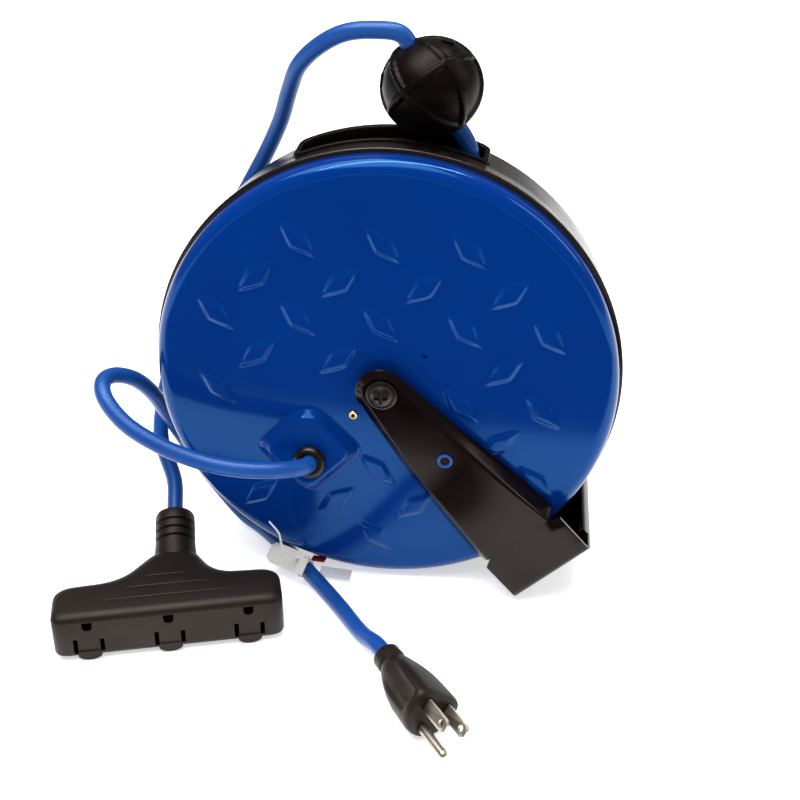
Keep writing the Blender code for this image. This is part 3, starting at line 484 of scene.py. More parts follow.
def add_tube(name, path, radius):
    """A round tube as a bevelled curve of one spline."""
    data = bpy.data.curves.new(name, "CURVE")
    data.dimensions = "3D"
    data.bevel_depth = radius * MM
    data.bevel_resolution = 6
    data.use_fill_caps = True
    line = data.splines.new("POLY")
    line.points.add(len(path) - 1)
    line.use_smooth = True
    for point, p in zip(line.points, path):
        point.co = (*place(p), 1.0)
    return link_object(name, data)


# ---------------- cord routes, as in the part
BALL_CENTRE = vec(18.3, 9.5, AXLE_Z + 137.6)
BALL_AXIS = unit((-0.53, 0.0, 0.848))
ENTRY = vec(-36.0, -41.4, AXLE_Z - 40.0)
ENTRY_AXIS = unit((-0.08, -0.965, 0.24))
TAP_FACE = vec(-97.5, -103.0, 0.0)
TAP_YAW = radians(15.5)
TAP_X = vec(cos(TAP_YAW), sin(TAP_YAW), 0.0)
TAP_Y = vec(-sin(TAP_YAW), cos(TAP_YAW), 0.0)
PLUG_FACE = vec(35.0, -148.5, 13.6)
PLUG_F = unit((0.56, -0.828, 0.0))
PLUG_ROLL = radians(-37.0)
PLUG_U = cos(PLUG_ROLL) * UP - sin(PLUG_ROLL) * np.cross(UP, PLUG_F)
PLUG_S = np.cross(PLUG_U, PLUG_F)


def tap_point(x, y, z):
    return TAP_FACE + x * TAP_X + y * TAP_Y + z * UP


NECK_START = tap_point(3.6, 45.0, 12.6)
NECK_END = tap_point(5.2, 76.0, 29.0)
NECK_DIR = unit(NECK_END - NECK_START)
plug_tail = PLUG_FACE - PLUG_LENGTH * PLUG_F

lead_points = [
    ENTRY - 13.5 * ENTRY_AXIS,
    ENTRY,
    ENTRY + 9.0 * ENTRY_AXIS,
    HUB + (-46.0, -58.5, -35.5),
    HUB + (-67.0, -62.5, -34.0),
    HUB + (-87.0, -62.0, -31.0),
    HUB + (-107.0, -60.0, -24.5),
    HUB + (-125.0, -55.0, -16.0),
    HUB + (-137.0, -46.0, -7.0),
    HUB + (-140.0, -37.0, -3.5),
    HUB + (-137.5, -28.0, -4.5),
    HUB + (-131.0, -19.0, -10.5),
    HUB + (-125.5, -10.0, -22.0),
    HUB + (-121.0, 0.0, -40.0),
    HUB + (-112.5, 8.0, -66.0),
    HUB + (-98.0, 10.0, -92.0),
    HUB + (-84.0, 6.0, -107.0),
    (-70.0, -4.0, 6.0),
    (-46.0, -32.0, 5.8),
    (-20.0, -65.0, 4.8),
    (plug_tail - 26.0 * PLUG_F) * (1, 1, 0) + vec(0, 0, 8.0),
    plug_tail - 10.0 * PLUG_F + vec(0, 0, -0.8),
    plug_tail + 1.0 * PLUG_F,
    plug_tail + 7.5 * PLUG_F,
]
output_points = [
    HUB + (76.5, 5.5, 64.2),
    HUB + (64.3, 6.5, 76.6),
    HUB + (51.0, 8.0, 86.2),
    HUB + (40.0, 9.3, 95.0),
    BALL_CENTRE - 33.0 * BALL_AXIS,
    BALL_CENTRE - 20.0 * BALL_AXIS,
    BALL_CENTRE,
    BALL_CENTRE + 16.0 * BALL_AXIS,
    BALL_CENTRE + 26.5 * BALL_AXIS,
    HUB + (-9.0, 10.5, 161.5),
    HUB + (-22.5, 12.0, 159.5),
    HUB + (-35.0, 15.5, 152.5),
    HUB + (-46.0, 21.0, 141.5),
    HUB + (-52.5, 28.0, 127.5),
    HUB + (-58.5, 34.0, 111.0),
    HUB + (-67.0, 37.5, 93.5),
    HUB + (-78.0, 38.5, 74.0),
    HUB + (-95.0, 37.5, 44.0),
    HUB + (-110.0, 34.0, 12.0),
    HUB + (-120.5, 26.0, -16.0),
    HUB + (-125.5, 14.0, -38.0),
    HUB + (-126.0, 2.0, -58.0),
    NECK_END + 18.0 * NECK_DIR + vec(0, 0, 3.0),
    NECK_END + 5.0 * NECK_DIR,
    NECK_END - 13.5 * NECK_DIR,
]


lead_path = spline(lead_points, 8)
output_path = spline(output_points, 8)
lead_tube = add_tube("lead_cord_jacket", lead_path, CORD_R)
lead_cord = dress(lead_tube, "blue_cord", "lead_cord")
output_tube = add_tube("output_cord_jacket", output_path, CORD_R)
output_cord = dress(output_tube, "blue_cord", "output_cord")


# ---------------- front cover with its tread and boss
BOSS_CENTRE = vec(-38.0, -36.0)
BOSS_HALF = 25.0
TREAD_PITCH = 40.2
TREAD_ROW = 20.3
TREAD_FIRST = (-2.3, 73.3)
TREAD_TURN = radians(-1.9)
TREAD_HALF_LENGTH = 12.4
TREAD_HALF_WIDTH = 5.4
TREAD_HEIGHT = 1.05
FLAT_R = COVER_R - COVER_CORNER_R
BOSS_FOOT = 3.2
COVER_STEPS = 192
COVER_HOLES = ((BRASS_SPOT, 1.8), (PINHOLE_SPOT, 1.1))


def boss_loop(grow, low=0.0):
    """The boss's outline, grown by a length, with its two lower sides pulled in by another."""
    half = BOSS_HALF + grow
    side = 0.35 * low - 1.6
    right = half + 2.0 - 0.5 * low
    left = -half - 1.5 + 0.5 * low
    corners = [(0, half), (right, side), (0, -half - 3.0 + low), (left, side)]
    return [BOSS_CENTRE + p for p in rounded(corners, (15.0, 7.0, 7.0, 6.0), 8)]


def boss_height(z):
    return 2.0 + 12.0 * (BOSS_HALF - z) / (2 * BOSS_HALF)


def tread_marks():
    """Centre and angle of every raised lozenge: rows half a pitch apart that lean left and right by turns."""
    marks = []
    for row in range(-1, 9):
        for column in range(-4, 5):
            x = TREAD_FIRST[0] + TREAD_PITCH * (column + 0.5 * (row % 2))
            z = TREAD_FIRST[1] - TREAD_ROW * row
            turned_x = x * cos(TREAD_TURN) - z * sin(TREAD_TURN)
            turned_z = x * sin(TREAD_TURN) + z * cos(TREAD_TURN)
            angle = radians(40.0 if row % 2 else -45.0)
            near_boss = np.abs(vec(turned_x, turned_z) - BOSS_CENTRE).sum() < BOSS_HALF + 16.5
            if BORE_R + 17.0 < hypot(turned_x, turned_z) < FLAT_R - 12.5 and not near_boss:
                marks.append((turned_x, turned_z, angle))
    return marks


def tread_ring(mark, scale):
    """One level of a lozenge: its outline scaled about its centre."""
    x, z, angle = mark
    c = cos(angle)
    s = sin(angle)
    out = []
    for across, along in circle(1.0, 28):
        u = TREAD_HALF_LENGTH * scale * copysign(abs(across) ** 1.8, across)
        v = TREAD_HALF_WIDTH * scale * copysign(abs(along) ** 1.7, along)
        out.append((x + u * c - v * s, z + u * s + v * c))
    return out


def is_inside(x, z, loop):
    odd = False
    for (x1, z1), (x2, z2) in zip(loop, loop[1:] + loop[:1]):
        if (z1 > z) != (z2 > z) and x < (x2 - x1) * (z - z1) / (z2 - z1) + x1:
            odd = not odd
    return odd


def cover_face():
    """The flat of the cover as a triangulated sheet with raised lozenges, open at the hub, boss and holes."""
    flat = []
    heights = []
    edges = []

    def add_loop(loop, height):
        first = len(flat)
        for i, p in enumerate(loop):
            flat.append(Vector((float(p[0]), float(p[1]))))
            heights.append(height)
            edges.append((first + i, first + (i + 1) % len(loop)))

    for radius in (FLAT_R, FLAT_R - 1.2, BORE_R):
        add_loop(circle(radius, COVER_STEPS), 0.0)
    boss = boss_loop(BOSS_FOOT)
    add_loop(boss, 0.0)
    for spot, radius in COVER_HOLES:
        add_loop(circle(radius, 16, spot), 0.0)
    levels = ((1.22, 0.0), (1.06, 0.0), (0.97, 0.1), (0.8, 0.62), (0.68, 0.92), (0.58, 1.0), (0.35, 1.0))
    for mark in tread_marks():
        for scale, lift in levels:
            add_loop(tread_ring(mark, scale), lift * TREAD_HEIGHT)
    found = delaunay_2d_cdt(flat, edges, [], 0, 1e-5)
    points = []
    for spot, sources in zip(found[0], found[3]):
        height = heights[sources[0]] if sources else 0.0
        points.append((spot.x, COVER_FACE_Y - height, AXLE_Z + spot.y))
    faces = []
    for face in found[2]:
        x = sum(found[0][i].x for i in face) / 3
        z = sum(found[0][i].y for i in face) / 3
        on_flat = BORE_R <= hypot(x, z) <= FLAT_R and not is_inside(x, z, boss)
        in_hole = any(hypot(x - spot[0], z - spot[1]) < radius for spot, radius in COVER_HOLES)
        if on_flat and not in_hole:
            faces.append(tuple(face))
    return points, faces


def cover_edge():
    """The rolled edge, the skirt and the inner side, as a strip turned about the axle."""
    corner_at = (FLAT_R, COVER_FACE_Y + COVER_CORNER_R)
    profile = arc(corner_at, COVER_CORNER_R, -90, 0, 12) + [(COVER_R, COVER_REAR_Y - 0.3)]
    profile += [(COVER_R - 0.3, COVER_REAR_Y), (COVER_R - COVER_T, COVER_REAR_Y)]
    profile += arc(corner_at, COVER_CORNER_R - COVER_T, 0, -90, 8)
    profile += [(BORE_R, COVER_FACE_Y + COVER_T), (BORE_R, COVER_FACE_Y)]
    loops = []
    for radius, y in profile:
        loops.append([(x, y, AXLE_Z + z) for x, z in circle(radius, COVER_STEPS)])
    return sweep(loops, caps=False)


def hole_cup(spot, radius):
    """A small hole's wall and floor."""
    cup = []
    for depth in (0.0, 1.2):
        cup.append([(x, COVER_FACE_Y + depth, AXLE_Z + z) for x, z in circle(radius, 16, spot)])
    points, faces = sweep(cup)
    return points, [face for face in faces if len(face) == 4 or min(face) > 0]


def boss_shape():
    """The boss from its foot, over its rounded shoulder, to its sloping face."""
    levels = []
    steps = ((BOSS_FOOT, 0.0, 0.0, 0.0), (2.0, 0.0, 0.0, 0.0), (1.3, 0.1, 0.15, 0.0), (0.7, 0.7, 0.6, 0.0),
             (-0.2, 1.0, 2.0, 0.18), (-1.7, -0.5, 5.4, 0.93), (-2.1, -0.2, 6.0, 0.98), (-2.9, 0.0, 6.9, 1.0),
             (-4.6, 0.0, 8.2, 1.0))
    for grow, rise, pull, share in steps:
        loop = []
        for x, z in boss_loop(grow, pull):
            height = share * boss_height(z - BOSS_CENTRE[1]) + rise
            loop.append((x, COVER_FACE_Y - height, AXLE_Z + z))
        levels.append(loop)
    points, faces = sweep(levels)
    return points, [face for face in faces if face != tuple(range(len(levels[0])))]


def cover_shape():
    cups = [hole_cup(spot, radius) for spot, radius in COVER_HOLES]
    return combine(cover_face(), cover_edge(), *cups, boss_shape())


add_piece("cover_shell", cover_shape(), "blue_enamel", "front_cover", sharp=50.0)


# ---------------- tub with its mouth
SPIGOT_Y = -25.2
RING_STEP_DEPTH = 0.9


def ring_step(radius, one, two):
    """A soft step in the tub's back, from one depth to another towards the axle."""
    ease = copysign(0.15, two - one)
    return [(radius + 1.6, one), (radius + 0.8, one), (radius + 0.4, one + ease),
            (radius - 0.4, two - ease), (radius - 0.8, two), (radius - 1.6, two)]


def tub_shape():
    """The tub's wall as a closed profile turned about the axle, left open at the mouth."""
    spigot_r = COVER_R - COVER_T - 0.3
    corner_at = (TUB_R_REAR - TUB_CORNER_R, TUB_BACK_Y - TUB_CORNER_R)
    slope = (TUB_R_REAR - TUB_R_FRONT) / (corner_at[1] - LIP_Y[1])

    def wall(y):
        return TUB_R_FRONT + slope * (y - LIP_Y[1])

    mouth_low = MOUTH_Y[0] - 0.3
    mouth_high = MOUTH_Y[1] + 0.3
    outer = [(spigot_r, SPIGOT_Y), (spigot_r, LIP_Y[0]), (LIP_R - 0.5, LIP_Y[0]), (LIP_R, LIP_Y[0] + 0.5),
             (LIP_R, LIP_Y[1] - 0.7), (LIP_R - 0.35, LIP_Y[1] - 0.15), (TUB_R_FRONT + 0.3, LIP_Y[1] + 0.2),
             (wall(LIP_Y[1] + 1.0), LIP_Y[1] + 1.0), (wall(mouth_low), mouth_low), (wall(8.0), 8.0),
             (wall(mouth_high), mouth_high)]
    outer += arc(corner_at, TUB_CORNER_R, 0, 90, 8)
    step = TUB_BACK_Y - RING_STEP_DEPTH
    outer += [(104.6, TUB_BACK_Y)] + ring_step(69.4, TUB_BACK_Y, step) + ring_step(29.2, step, TUB_BACK_Y)
    outer += [(BORE_R, TUB_BACK_Y), (BORE_R, TUB_BACK_Y - 2.6)]
    inner = arc(corner_at, TUB_CORNER_R - 2.6, 90, 0, 4)
    inner += [(wall(mouth_high) - 2.0, mouth_high), (wall(mouth_low) - 2.0, mouth_low)]
    inner += [(spigot_r - TUB_T, SPIGOT_Y)]
    profile = outer + inner
    wall_steps = 200
    angles = list(np.linspace(pi / 2 + MOUTH_HALF, pi / 2 - MOUTH_HALF + 2 * pi, wall_steps))
    angles += list(np.linspace(pi / 2 - MOUTH_HALF, pi / 2 + MOUTH_HALF, 33))[1:-1]
    loops = []
    for a in angles:
        loops.append([(r * cos(a), y, AXLE_Z + r * sin(a)) for r, y in profile])
    points, faces = sweep(loops, closed=True)
    open_from = (wall_steps - 1) * len(profile)
    low_at = outer.index((wall(mouth_low), mouth_low))
    cut_columns = {low_at, low_at + 1, len(outer) + len(inner) - 3}
    kept = []
    for face in faces:
        column = min(i % len(profile) for i in face)
        if max(i % len(profile) for i in face) - column > 1:
            column = len(profile) - 1
        in_mouth = min(face) >= open_from or (max(face) >= open_from and min(face) < len(profile))
        if not (in_mouth and column in cut_columns):
            kept.append(face)
    return points, kept


add_piece("tub_shell", tub_shape(), "black_shell", "rear_housing", sharp=50.0)


def mouth_shape():
    """A guide frame round the mouth, with rolled lips over the tub's wall."""
    half = MOUTH_HALF - 0.004
    low_y, high_y = MOUTH_Y
    middle_y = (low_y + high_y) / 2
    section = [(3.0, 109.2), (1.9, 109.0), (0.5, 109.4), (0.0, 110.2), (0.0, 114.0),
               (0.2, 114.6), (0.9, 115.0), (2.0, 114.9), (2.7, 114.4), (3.0, 113.6)]
    middle_r = 112.0
    span = half * middle_r
    reach = (high_y - low_y) / 2
    outline = rounded([(-span, -reach), (span, -reach), (span, reach), (-span, reach)], 5.0, 8)
    dense = []
    for one, two in zip(outline, outline[1:] + outline[:1]):
        parts = max(1, int(hypot(two[0] - one[0], two[1] - one[1]) / 3.0))
        for i in range(parts):
            dense.append((one[0] + (two[0] - one[0]) * i / parts, one[1] + (two[1] - one[1]) * i / parts))
    loops = []
    for inset, radius in section:
        loop = []
        for u, v in dense:
            a = pi / 2 - u * (1 - inset / span) / middle_r
            y = middle_y + v * (1 - inset / reach)
            loop.append((radius * cos(a), y, AXLE_Z + radius * sin(a)))
        loops.append(loop)
    return sweep(loops, closed=True)


add_piece("mouth_frame", mouth_shape(), "black_plastic", "mouth_guide", sharp=50.0)


# ---------------- wound cord under the mouth
def wound_shape():
    """Three lanes of turns in two layers, each turn a ring of the cord's own thickness."""
    shapes = []
    for lane in range(3):
        for radius in (WOUND_TOP, WOUND_TOP - 2 * CORD_R):
            y = WOUND_Y[0] + (lane + 0.5) * (WOUND_Y[1] - WOUND_Y[0]) / 3
            profile = arc((radius, y), CORD_R, 0, 330, 11)
            shapes.append(lathe(profile, HUB, (0, 1, 0), 96))
    return combine(*shapes)


add_piece("wound_turns", wound_shape(), "blue_cord", "wound_cord", body="spool", sharp=80.0)


# ---------------- bracket
ARM_S = vec(cos(ARM_ANGLE), 0.0, sin(ARM_ANGLE))
ARM_T = vec(-sin(ARM_ANGLE), 0.0, cos(ARM_ANGLE))


def web_y(s):
    return WEB_Y[0] + (WEB_Y[1] - WEB_Y[0]) * s / ARM_LENGTH


def rim_y(s):
    return RIM_Y[0] + (RIM_Y[1] - RIM_Y[0]) * s / FLANGE_END


def face_half(s, upper):
    return float(np.interp(s, ARM_STATIONS, FACE_UPPER if upper else FACE_LOWER))


def rim_half(s, upper):
    return float(np.interp(s, ARM_STATIONS, RIM_UPPER if upper else RIM_LOWER))


def arm_spot(s, t, y, rear=False):
    return HUB + s * ARM_S + t * ARM_T + side_y(y, rear) * ALONG_Y


def arm_shape(rear):
    """The stamped channel from its rim to its face, as a sheet's outer surface."""
    stations = [FLANGE_END * (1 - i / 13) for i in range(14)]
    loops = []
    levels = ((0.0, 0.0), (0.3, 0.24), (0.6, 0.48), (0.84, 0.656), (0.93, 0.736), (0.985, 0.832), (1.0, 0.96),
              (1.0, 1.0))
    for rise, pull in levels:

        def half_at(s, upper):
            return rim_half(s, upper) + (face_half(s, upper) - rim_half(s, upper)) * pull

        def y_at(s):
            return rim_y(s) + (web_y(s) - rim_y(s)) * rise

        spots = [(s, half_at(s, True)) for s in stations]
        for i in range(1, 24):
            a = pi / 2 + pi * i / 24
            low = (1 - sin(a)) / 2
            half = half_at(0.0, True) * (1 - low) + half_at(0.0, False) * low
            spots.append((half * cos(a), half * sin(a)))
        spots += [(s, -half_at(s, False)) for s in reversed(stations)]
        loops.append([arm_spot(s, t, y_at(s), rear) for s, t in spots])
    points, faces = sweep(loops, caps=False, open_loops=True)
    last = len(loops) - 1
    count = len(loops[0])
    faces.append(tuple(range(last * count, (last + 1) * count)))
    return points, faces


def base_shape():
    """The strip from one arm's web round both bends and across the base."""
    bend = 4.0
    corner = ARM_LENGTH + 1.0 - bend
    front = []
    for s in (FLANGE_END, FLANGE_END + 0.4, FLANGE_END + SHOULDER, 112.0, 118.0, 123.0):
        front.append((s, web_y(s)))
    top = web_y(corner)
    for i in range(7):
        a = pi / 2 * i / 6
        front.append((corner + bend * sin(a), top + bend - bend * cos(a) - 0.2))
    path = front + [(ARM_LENGTH + 1.0, MID_Y)] + [(s, side_y(y, True)) for s, y in reversed(front)]
    loops = []
    for s, y in path:
        high = face_half(s, True)
        low = -face_half(s, False)
        loops.append([arm_spot(s, t, y) for t in (high, 0.5 * high, 0.0, 0.5 * low, low)])
    return sweep(loops, caps=False, open_loops=True)


def add_bracket():
    shape = combine(arm_shape(False), base_shape(), arm_shape(True))
    made = add_piece("bracket_sheet", shape, "black_paint", "bracket", body="bracket", sharp=60.0)
    solidify = made.modifiers.new("sheet", "SOLIDIFY")
    solidify.thickness = SHEET_T * MM
    solidify.offset = -1.0
    bevel = made.modifiers.new("edges", "BEVEL")
    bevel.width = 0.35 * MM
    bevel.segments = 2
    bevel.limit_method = "ANGLE"
    bevel.angle_limit = radians(50)
    apply_modifiers(made)
    holes = []
    for y in (BASE_HOLE_Y, MID_Y, side_y(BASE_HOLE_Y, True)):
        holes.append(lathe(rod(BASE_HOLE_R, 122.0, 140.0), HUB + y * ALONG_Y, ARM_S, 32))
    holes.append(lathe(rod(BORE_R, -70, 70), HUB, ALONG_Y, 48))
    carve(made, *holes, sharp=40.0)


def add_lips():
    """The turned-in edges of the base plate."""
    axes = (ARM_S, ARM_T, ALONG_Y)
    lips = []
    for low, high in ((BASE_EDGES[0], BASE_EDGES[0] + LIP_T), (BASE_EDGES[1] - LIP_T, BASE_EDGES[1])):
        lips.append(slab((ARM_LENGTH - 5.0, low, -34.0), (ARM_LENGTH + 0.6, high, side_y(-34.0, True)),
                         axes, HUB, 0.5))
    add_piece("bracket_lips", combine(*lips), "black_paint", body="bracket")


add_bracket()
add_lips()


# ---------------- hub hardware
def carve_cross(screw, reach, half, depths, origin):
    """A cross-shaped recess in a screw's head."""
    arms = ((reach, half), (half, reach))
    carve(screw, *[slab((-a, depths[0], -b), (a, depths[1], b), np.eye(3), origin, 0.05) for a, b in arms])


def add_hub(tag, rear):
    """Spacer, washer and pan head screw on one side."""
    out = 1 if rear else -1
    spacer = [(BORE_R, -32.8), (8.2, -32.8), (8.6, -33.2), (8.6, -38.0), (8.2, -38.4), (BORE_R, -38.4)]
    washer = [(3.1, -42.2), (7.2, -42.2), (7.6, -42.5), (7.6, -43.1), (7.2, -43.4), (3.1, -43.4)]
    for part, profile, slot in (("spacer", spacer, "nylon"), ("washer", washer, "black_screws")):
        shape = lathe([(r, side_y(y, rear)) for r, y in profile], HUB, ALONG_Y, 64)
        add_piece(f"{part}_{tag}", shape, slot, f"hub_{part}_{tag}")
    head = [(0, -14.0), (2.8, -14.0), (2.8, 0.0), (6.0, 0.0), (6.2, 0.3), (6.15, 1.0)]
    head += arc((0, -4.3), 7.4, 45, 90, 8)[:-1] + [(0, 3.1)]
    seat = HUB + side_y(SCREW_SEAT_Y, rear) * ALONG_Y
    shape = lathe(head, seat, (0, out, 0), 64)
    screw = add_piece(f"screw_{tag}", shape, "black_screws", f"hub_screw_{tag}")
    carve_cross(screw, 3.3, 0.7, sorted((side_y(-50.0, rear), side_y(-45.3, rear))), HUB)


add_hub("front", False)
add_hub("rear", True)

brass_at = vec(BRASS_SPOT[0], COVER_FACE_Y, AXLE_Z + BRASS_SPOT[1])
lip = [(0.9, -0.9), (1.2, -1.05), (2.0, -1.0), (2.3, -0.7), (2.2, -0.4), (1.5, -0.3), (1.5, 1.0), (0.9, 1.0)]
add_piece("brass_ring", lathe(lip, brass_at, ALONG_Y, 40), "brass", "brass_eyelet")
eyelet_at = arm_spot(EYELET_S, 0.0, web_y(EYELET_S))
lip = [(2.4, -0.8), (2.9, -1.15), (3.3, -1.2), (3.8, -0.9), (3.9, -0.4),
       (2.7, -0.3), (2.7, 2.4), (4.0, 2.5), (4.0, 3.0), (2.4, 3.0)]
add_piece("eyelet_ring", lathe(lip, eyelet_at, ALONG_Y, 40), "blue_grommet", "bracket_eyelet", body="bracket")
# A near-black disc set inside the eyelet's hole: painted shade where the hole is in shadow.
disc = lathe(rod(2.6, 0.1, 0.4), eyelet_at, ALONG_Y, 32)
add_piece("eyelet_shadow", disc, "black_paint", body="bracket", look="painted_eyelet_shade")

relief = [(4.6, -13.0), (6.0, -13.0), (6.0, 1.4), (7.6, 1.4), (8.2, 2.0), (8.2, 3.4), (7.6, 4.7), (6.4, 5.5),
          (5.4, 5.6), (4.6, 5.2)]
strain_relief = add_piece("relief_collar", lathe(relief, ENTRY, ENTRY_AXIS, 56), "black_plastic",
                          "strain_relief", look="black_shell")


def add_case_screw(k):
    a = radians(45 + 90 * k)
    seat = HUB + CASE_SCREW_AT * vec(cos(a), 0.0, sin(a)) + (TUB_BACK_Y + 0.3) * ALONG_Y
    head = [(0, -3.6), (2.0, -3.6), (2.0, 0.0), (4.0, 0.0), (4.2, 0.25)]
    head += [(4.0, 0.7), (3.0, 1.1), (1.5, 1.3), (0, 1.3)]
    shape = lathe(head, seat, ALONG_Y, 40)
    screw = add_piece(f"case_screw_head_{k + 1}", shape, "black_screws", f"case_screw_{k + 1}")
    carve_cross(screw, 2.2, 0.5, (0.6, 4.0), seat)


for k in range(4):
    add_case_screw(k)


# ---------------- ball stop
def ball_shape(sign):
    """Half a ball with raised great-circle ribs, closed by a flat face at the parting line."""
    pole = unit((-0.60, 0.40, 0.69))
    front = vec(0.093, -0.869, 0.486)
    front = unit(front - np.dot(front, pole) * pole)
    beside = np.cross(pole, front)
    ribs = [pole]
    for turn in (-38.0, 22.0, 82.0):
        a = radians(turn + 90.0)
        ribs.append(cos(a) * front + sin(a) * beside)
    across = np.cross(BALL_AXIS, ALONG_Y)
    rows_up = 48
    around = 144
    loops = []
    for i in range(rows_up):
        lift = pi / 2 * (i / rows_up) ** 0.9
        loop = []
        for j in range(around):
            turn = 2 * pi * j / around
            way = cos(lift) * (cos(turn) * BALL_AXIS + sin(turn) * across)
            way = way + sign * sin(lift) * ALONG_Y
            raised = 0.0
            for rib in ribs:
                offset = abs(float(np.dot(way, rib))) * BALL_R
                raised = max(raised, min(1.0, max(0.0, (2.1 - offset) / 0.8)))
            radius = BALL_R - BALL_SKIN + 1.4 * raised * raised * (3 - 2 * raised)
            loop.append(BALL_CENTRE + radius * way * BALL_SQUASH + sign * 0.12 * ALONG_Y + BALL_DROP)
        loops.append(loop)
    points, faces = sweep(loops, caps=False)
    top = len(points)
    points = points + [BALL_CENTRE + sign * (BALL_R - BALL_SKIN) * ALONG_Y + BALL_DROP]
    first = (rows_up - 1) * around
    for j in range(around):
        faces.append((first + j, first + (j + 1) % around, top))
    faces.append(tuple(range(around)))
    return points, faces


def add_ball_half(tag, sign):
    shape = ball_shape(sign)
    half = add_piece(f"ball_half_{tag}", shape, "black_plastic", f"ball_stop_{tag}", sharp=45.0)
    carve(half, lathe(rod(4.8, -40, 40), BALL_CENTRE, BALL_AXIS, 32), sharp=45.0)
    return half


def tab_shape():
    """Four small catches across the parting line."""
    tabs = []
    across = np.cross(BALL_AXIS, ALONG_Y)
    for turn in (0.9, 2.3, 3.9, 5.4):
        way = cos(turn) * BALL_AXIS + sin(turn) * across
        foot = BALL_CENTRE + (BALL_R - 2.1) * way * BALL_SQUASH + BALL_DROP
        axes = (np.cross(way, ALONG_Y), ALONG_Y, way)
        tabs.append(slab((-3.0, -2.6, 0.0), (3.0, 2.6, 1.6), axes, foot, 0.3))
    return combine(*tabs)


ball_parts = [add_ball_half("front", -1), add_ball_half("rear", 1)]
ball_parts.append(add_piece("ball_tabs", tab_shape(), "black_plastic"))


# ---------------- triple tap
def tap_shape():
    """The moulding's body: a bar for the outlets with a shoulder towards the cord."""
    corners = [(-TAP_HALF, 0), (TAP_HALF, 0), (TAP_HALF, TAP_DEPTH), (24, TAP_DEPTH + 2), (13, 52), (-5, 52),
               (-24, TAP_DEPTH + 2), (-TAP_HALF, TAP_DEPTH)]
    radii = (6, 6, 9, 12, 8, 8, 12, 9)
    loops = []
    levels = ((1.6, 2.6), (2.0, 1.4), (2.9, 0.5), (4.2, 0.0), (22.2, 0.0), (23.6, 0.4), (24.9, 1.5),
              (25.7, 3.2), (TAP_TOP, 4.6))
    for z, inset in levels:
        shrunk = [(x - copysign(inset, x), y + inset if y < 1 else y - inset) for x, y in corners]
        outline = rounded(shrunk, radii, 8)
        loops.append([tap_point(x, y, z) for x, y in outline])
    return sweep(loops)


def neck_shape():
    """The sleeve round the cord, with three grooves."""
    length = float(np.linalg.norm(NECK_END - NECK_START))
    groove = ((10.4, 0.0), (10.4, 1.4), (9.1, 1.9), (9.1, 2.8), (10.3, 3.3), (10.3, 4.2))
    bore = CORD_R + 0.3
    profile = [(0, -4), (12.2, -4), (12.0, 2.0), (11.2, 8.0), (10.6, 14.0)]
    for k in range(3):
        profile += [(r, 16.0 + 4.8 * k + h) for r, h in groove]
    profile += [(10.2, length - 2.0), (9.4, length - 0.4), (8.4, length), (bore, length)]
    profile += [(bore, length - 12), (0, length - 12)]
    return lathe(profile, NECK_START, NECK_DIR, 48)


def bump_shape():
    """Half-round feet under the three outlets."""
    shapes = []
    for x in (-OUTLET_PITCH, 0.0, OUTLET_PITCH):
        bump = [(x + 5.8 * cos(a), 2.8 - 2.8 * sin(a)) for a in np.linspace(0, pi, 13)]
        bump += [(x - 5.0, 5.2), (x + 5.0, 5.2)]
        loops = []
        for depth, scale in ((7.0, 0.9), (-0.2, 1.0), (-0.7, 0.9)):
            loops.append([tap_point(x + (u - x) * scale, depth, 2.8 + (w - 2.8) * scale) for u, w in bump])
        shapes.append(sweep(loops))
    return combine(*shapes)


def grip_shape():
    """Three fine raised lines on the top."""
    shapes = []
    for half, y in ((31.0, 11.5), (20.5, 20.0), (10.5, 28.0)):
        loops = []
        for i in range(13):
            x = half * (i / 6 - 1)
            size = 0.55 * sqrt(max(0.05, 1 - (i / 6 - 1) ** 4))
            loops.append([tap_point(x, v, w) for v, w in circle(size, 8, (y, TAP_TOP))])
        shapes.append(sweep(loops))
    return combine(*shapes)


def outlet_cuts(middle):
    """Two blade slots and a D-shaped ground hole."""
    cuts = []
    for x, tall in ((-SLOT_SPACING / 2, 4.2), (SLOT_SPACING / 2, 3.6)):
        cuts.append(slab((middle + x - 1.1, -4.0, SLOT_Z - tall), (middle + x + 1.1, 9.0, SLOT_Z + tall),
                         (TAP_X, TAP_Y, UP), TAP_FACE, 0.05))
    hole = [(-2.5, 1.9), (-2.5, -0.6)] + arc((0, -0.6), 2.5, 180, 360, 10)[1:-1] + [(2.5, -0.6), (2.5, 1.9)]
    cuts.append(sweep([[tap_point(middle + u, y, GROUND_HOLE_Z + w) for u, w in hole] for y in (-4.0, 9.0)]))
    return cuts


tap = add_piece("tap_moulding", tap_shape(), "black_rubber", "tap_body", sharp=42.0)
tap_cuts = [cut for k in (-1, 0, 1) for cut in outlet_cuts(k * OUTLET_PITCH)]
carve(tap, *tap_cuts, sharp=42.0)
for name, shape in (("tap_neck", neck_shape()), ("tap_bumps", bump_shape()), ("tap_grips", grip_shape())):
    add_piece(name, shape, "black_rubber")


# ---------------- plug
def plug_loop(a, wide, low, high, square, dish=0.0):
    """A D section: round towards the ground pin, flat by the blades, with a grip dished into both sides."""
    loop = []
    for c, s in circle(1.0, 72):
        if s >= 0:
            x = wide * copysign(abs(c) ** square, c)
            z = high * abs(s) ** square
        else:
            x = wide * c
            z = low * s
        hollow = max(0.0, 1 - ((z - 0.5) / 6.5) ** 4)
        x -= copysign(dish * hollow, x) if abs(x) > 4 else 0.0
        loop.append(PLUG_FACE + a * PLUG_F + x * PLUG_S + z * PLUG_U)
    return loop


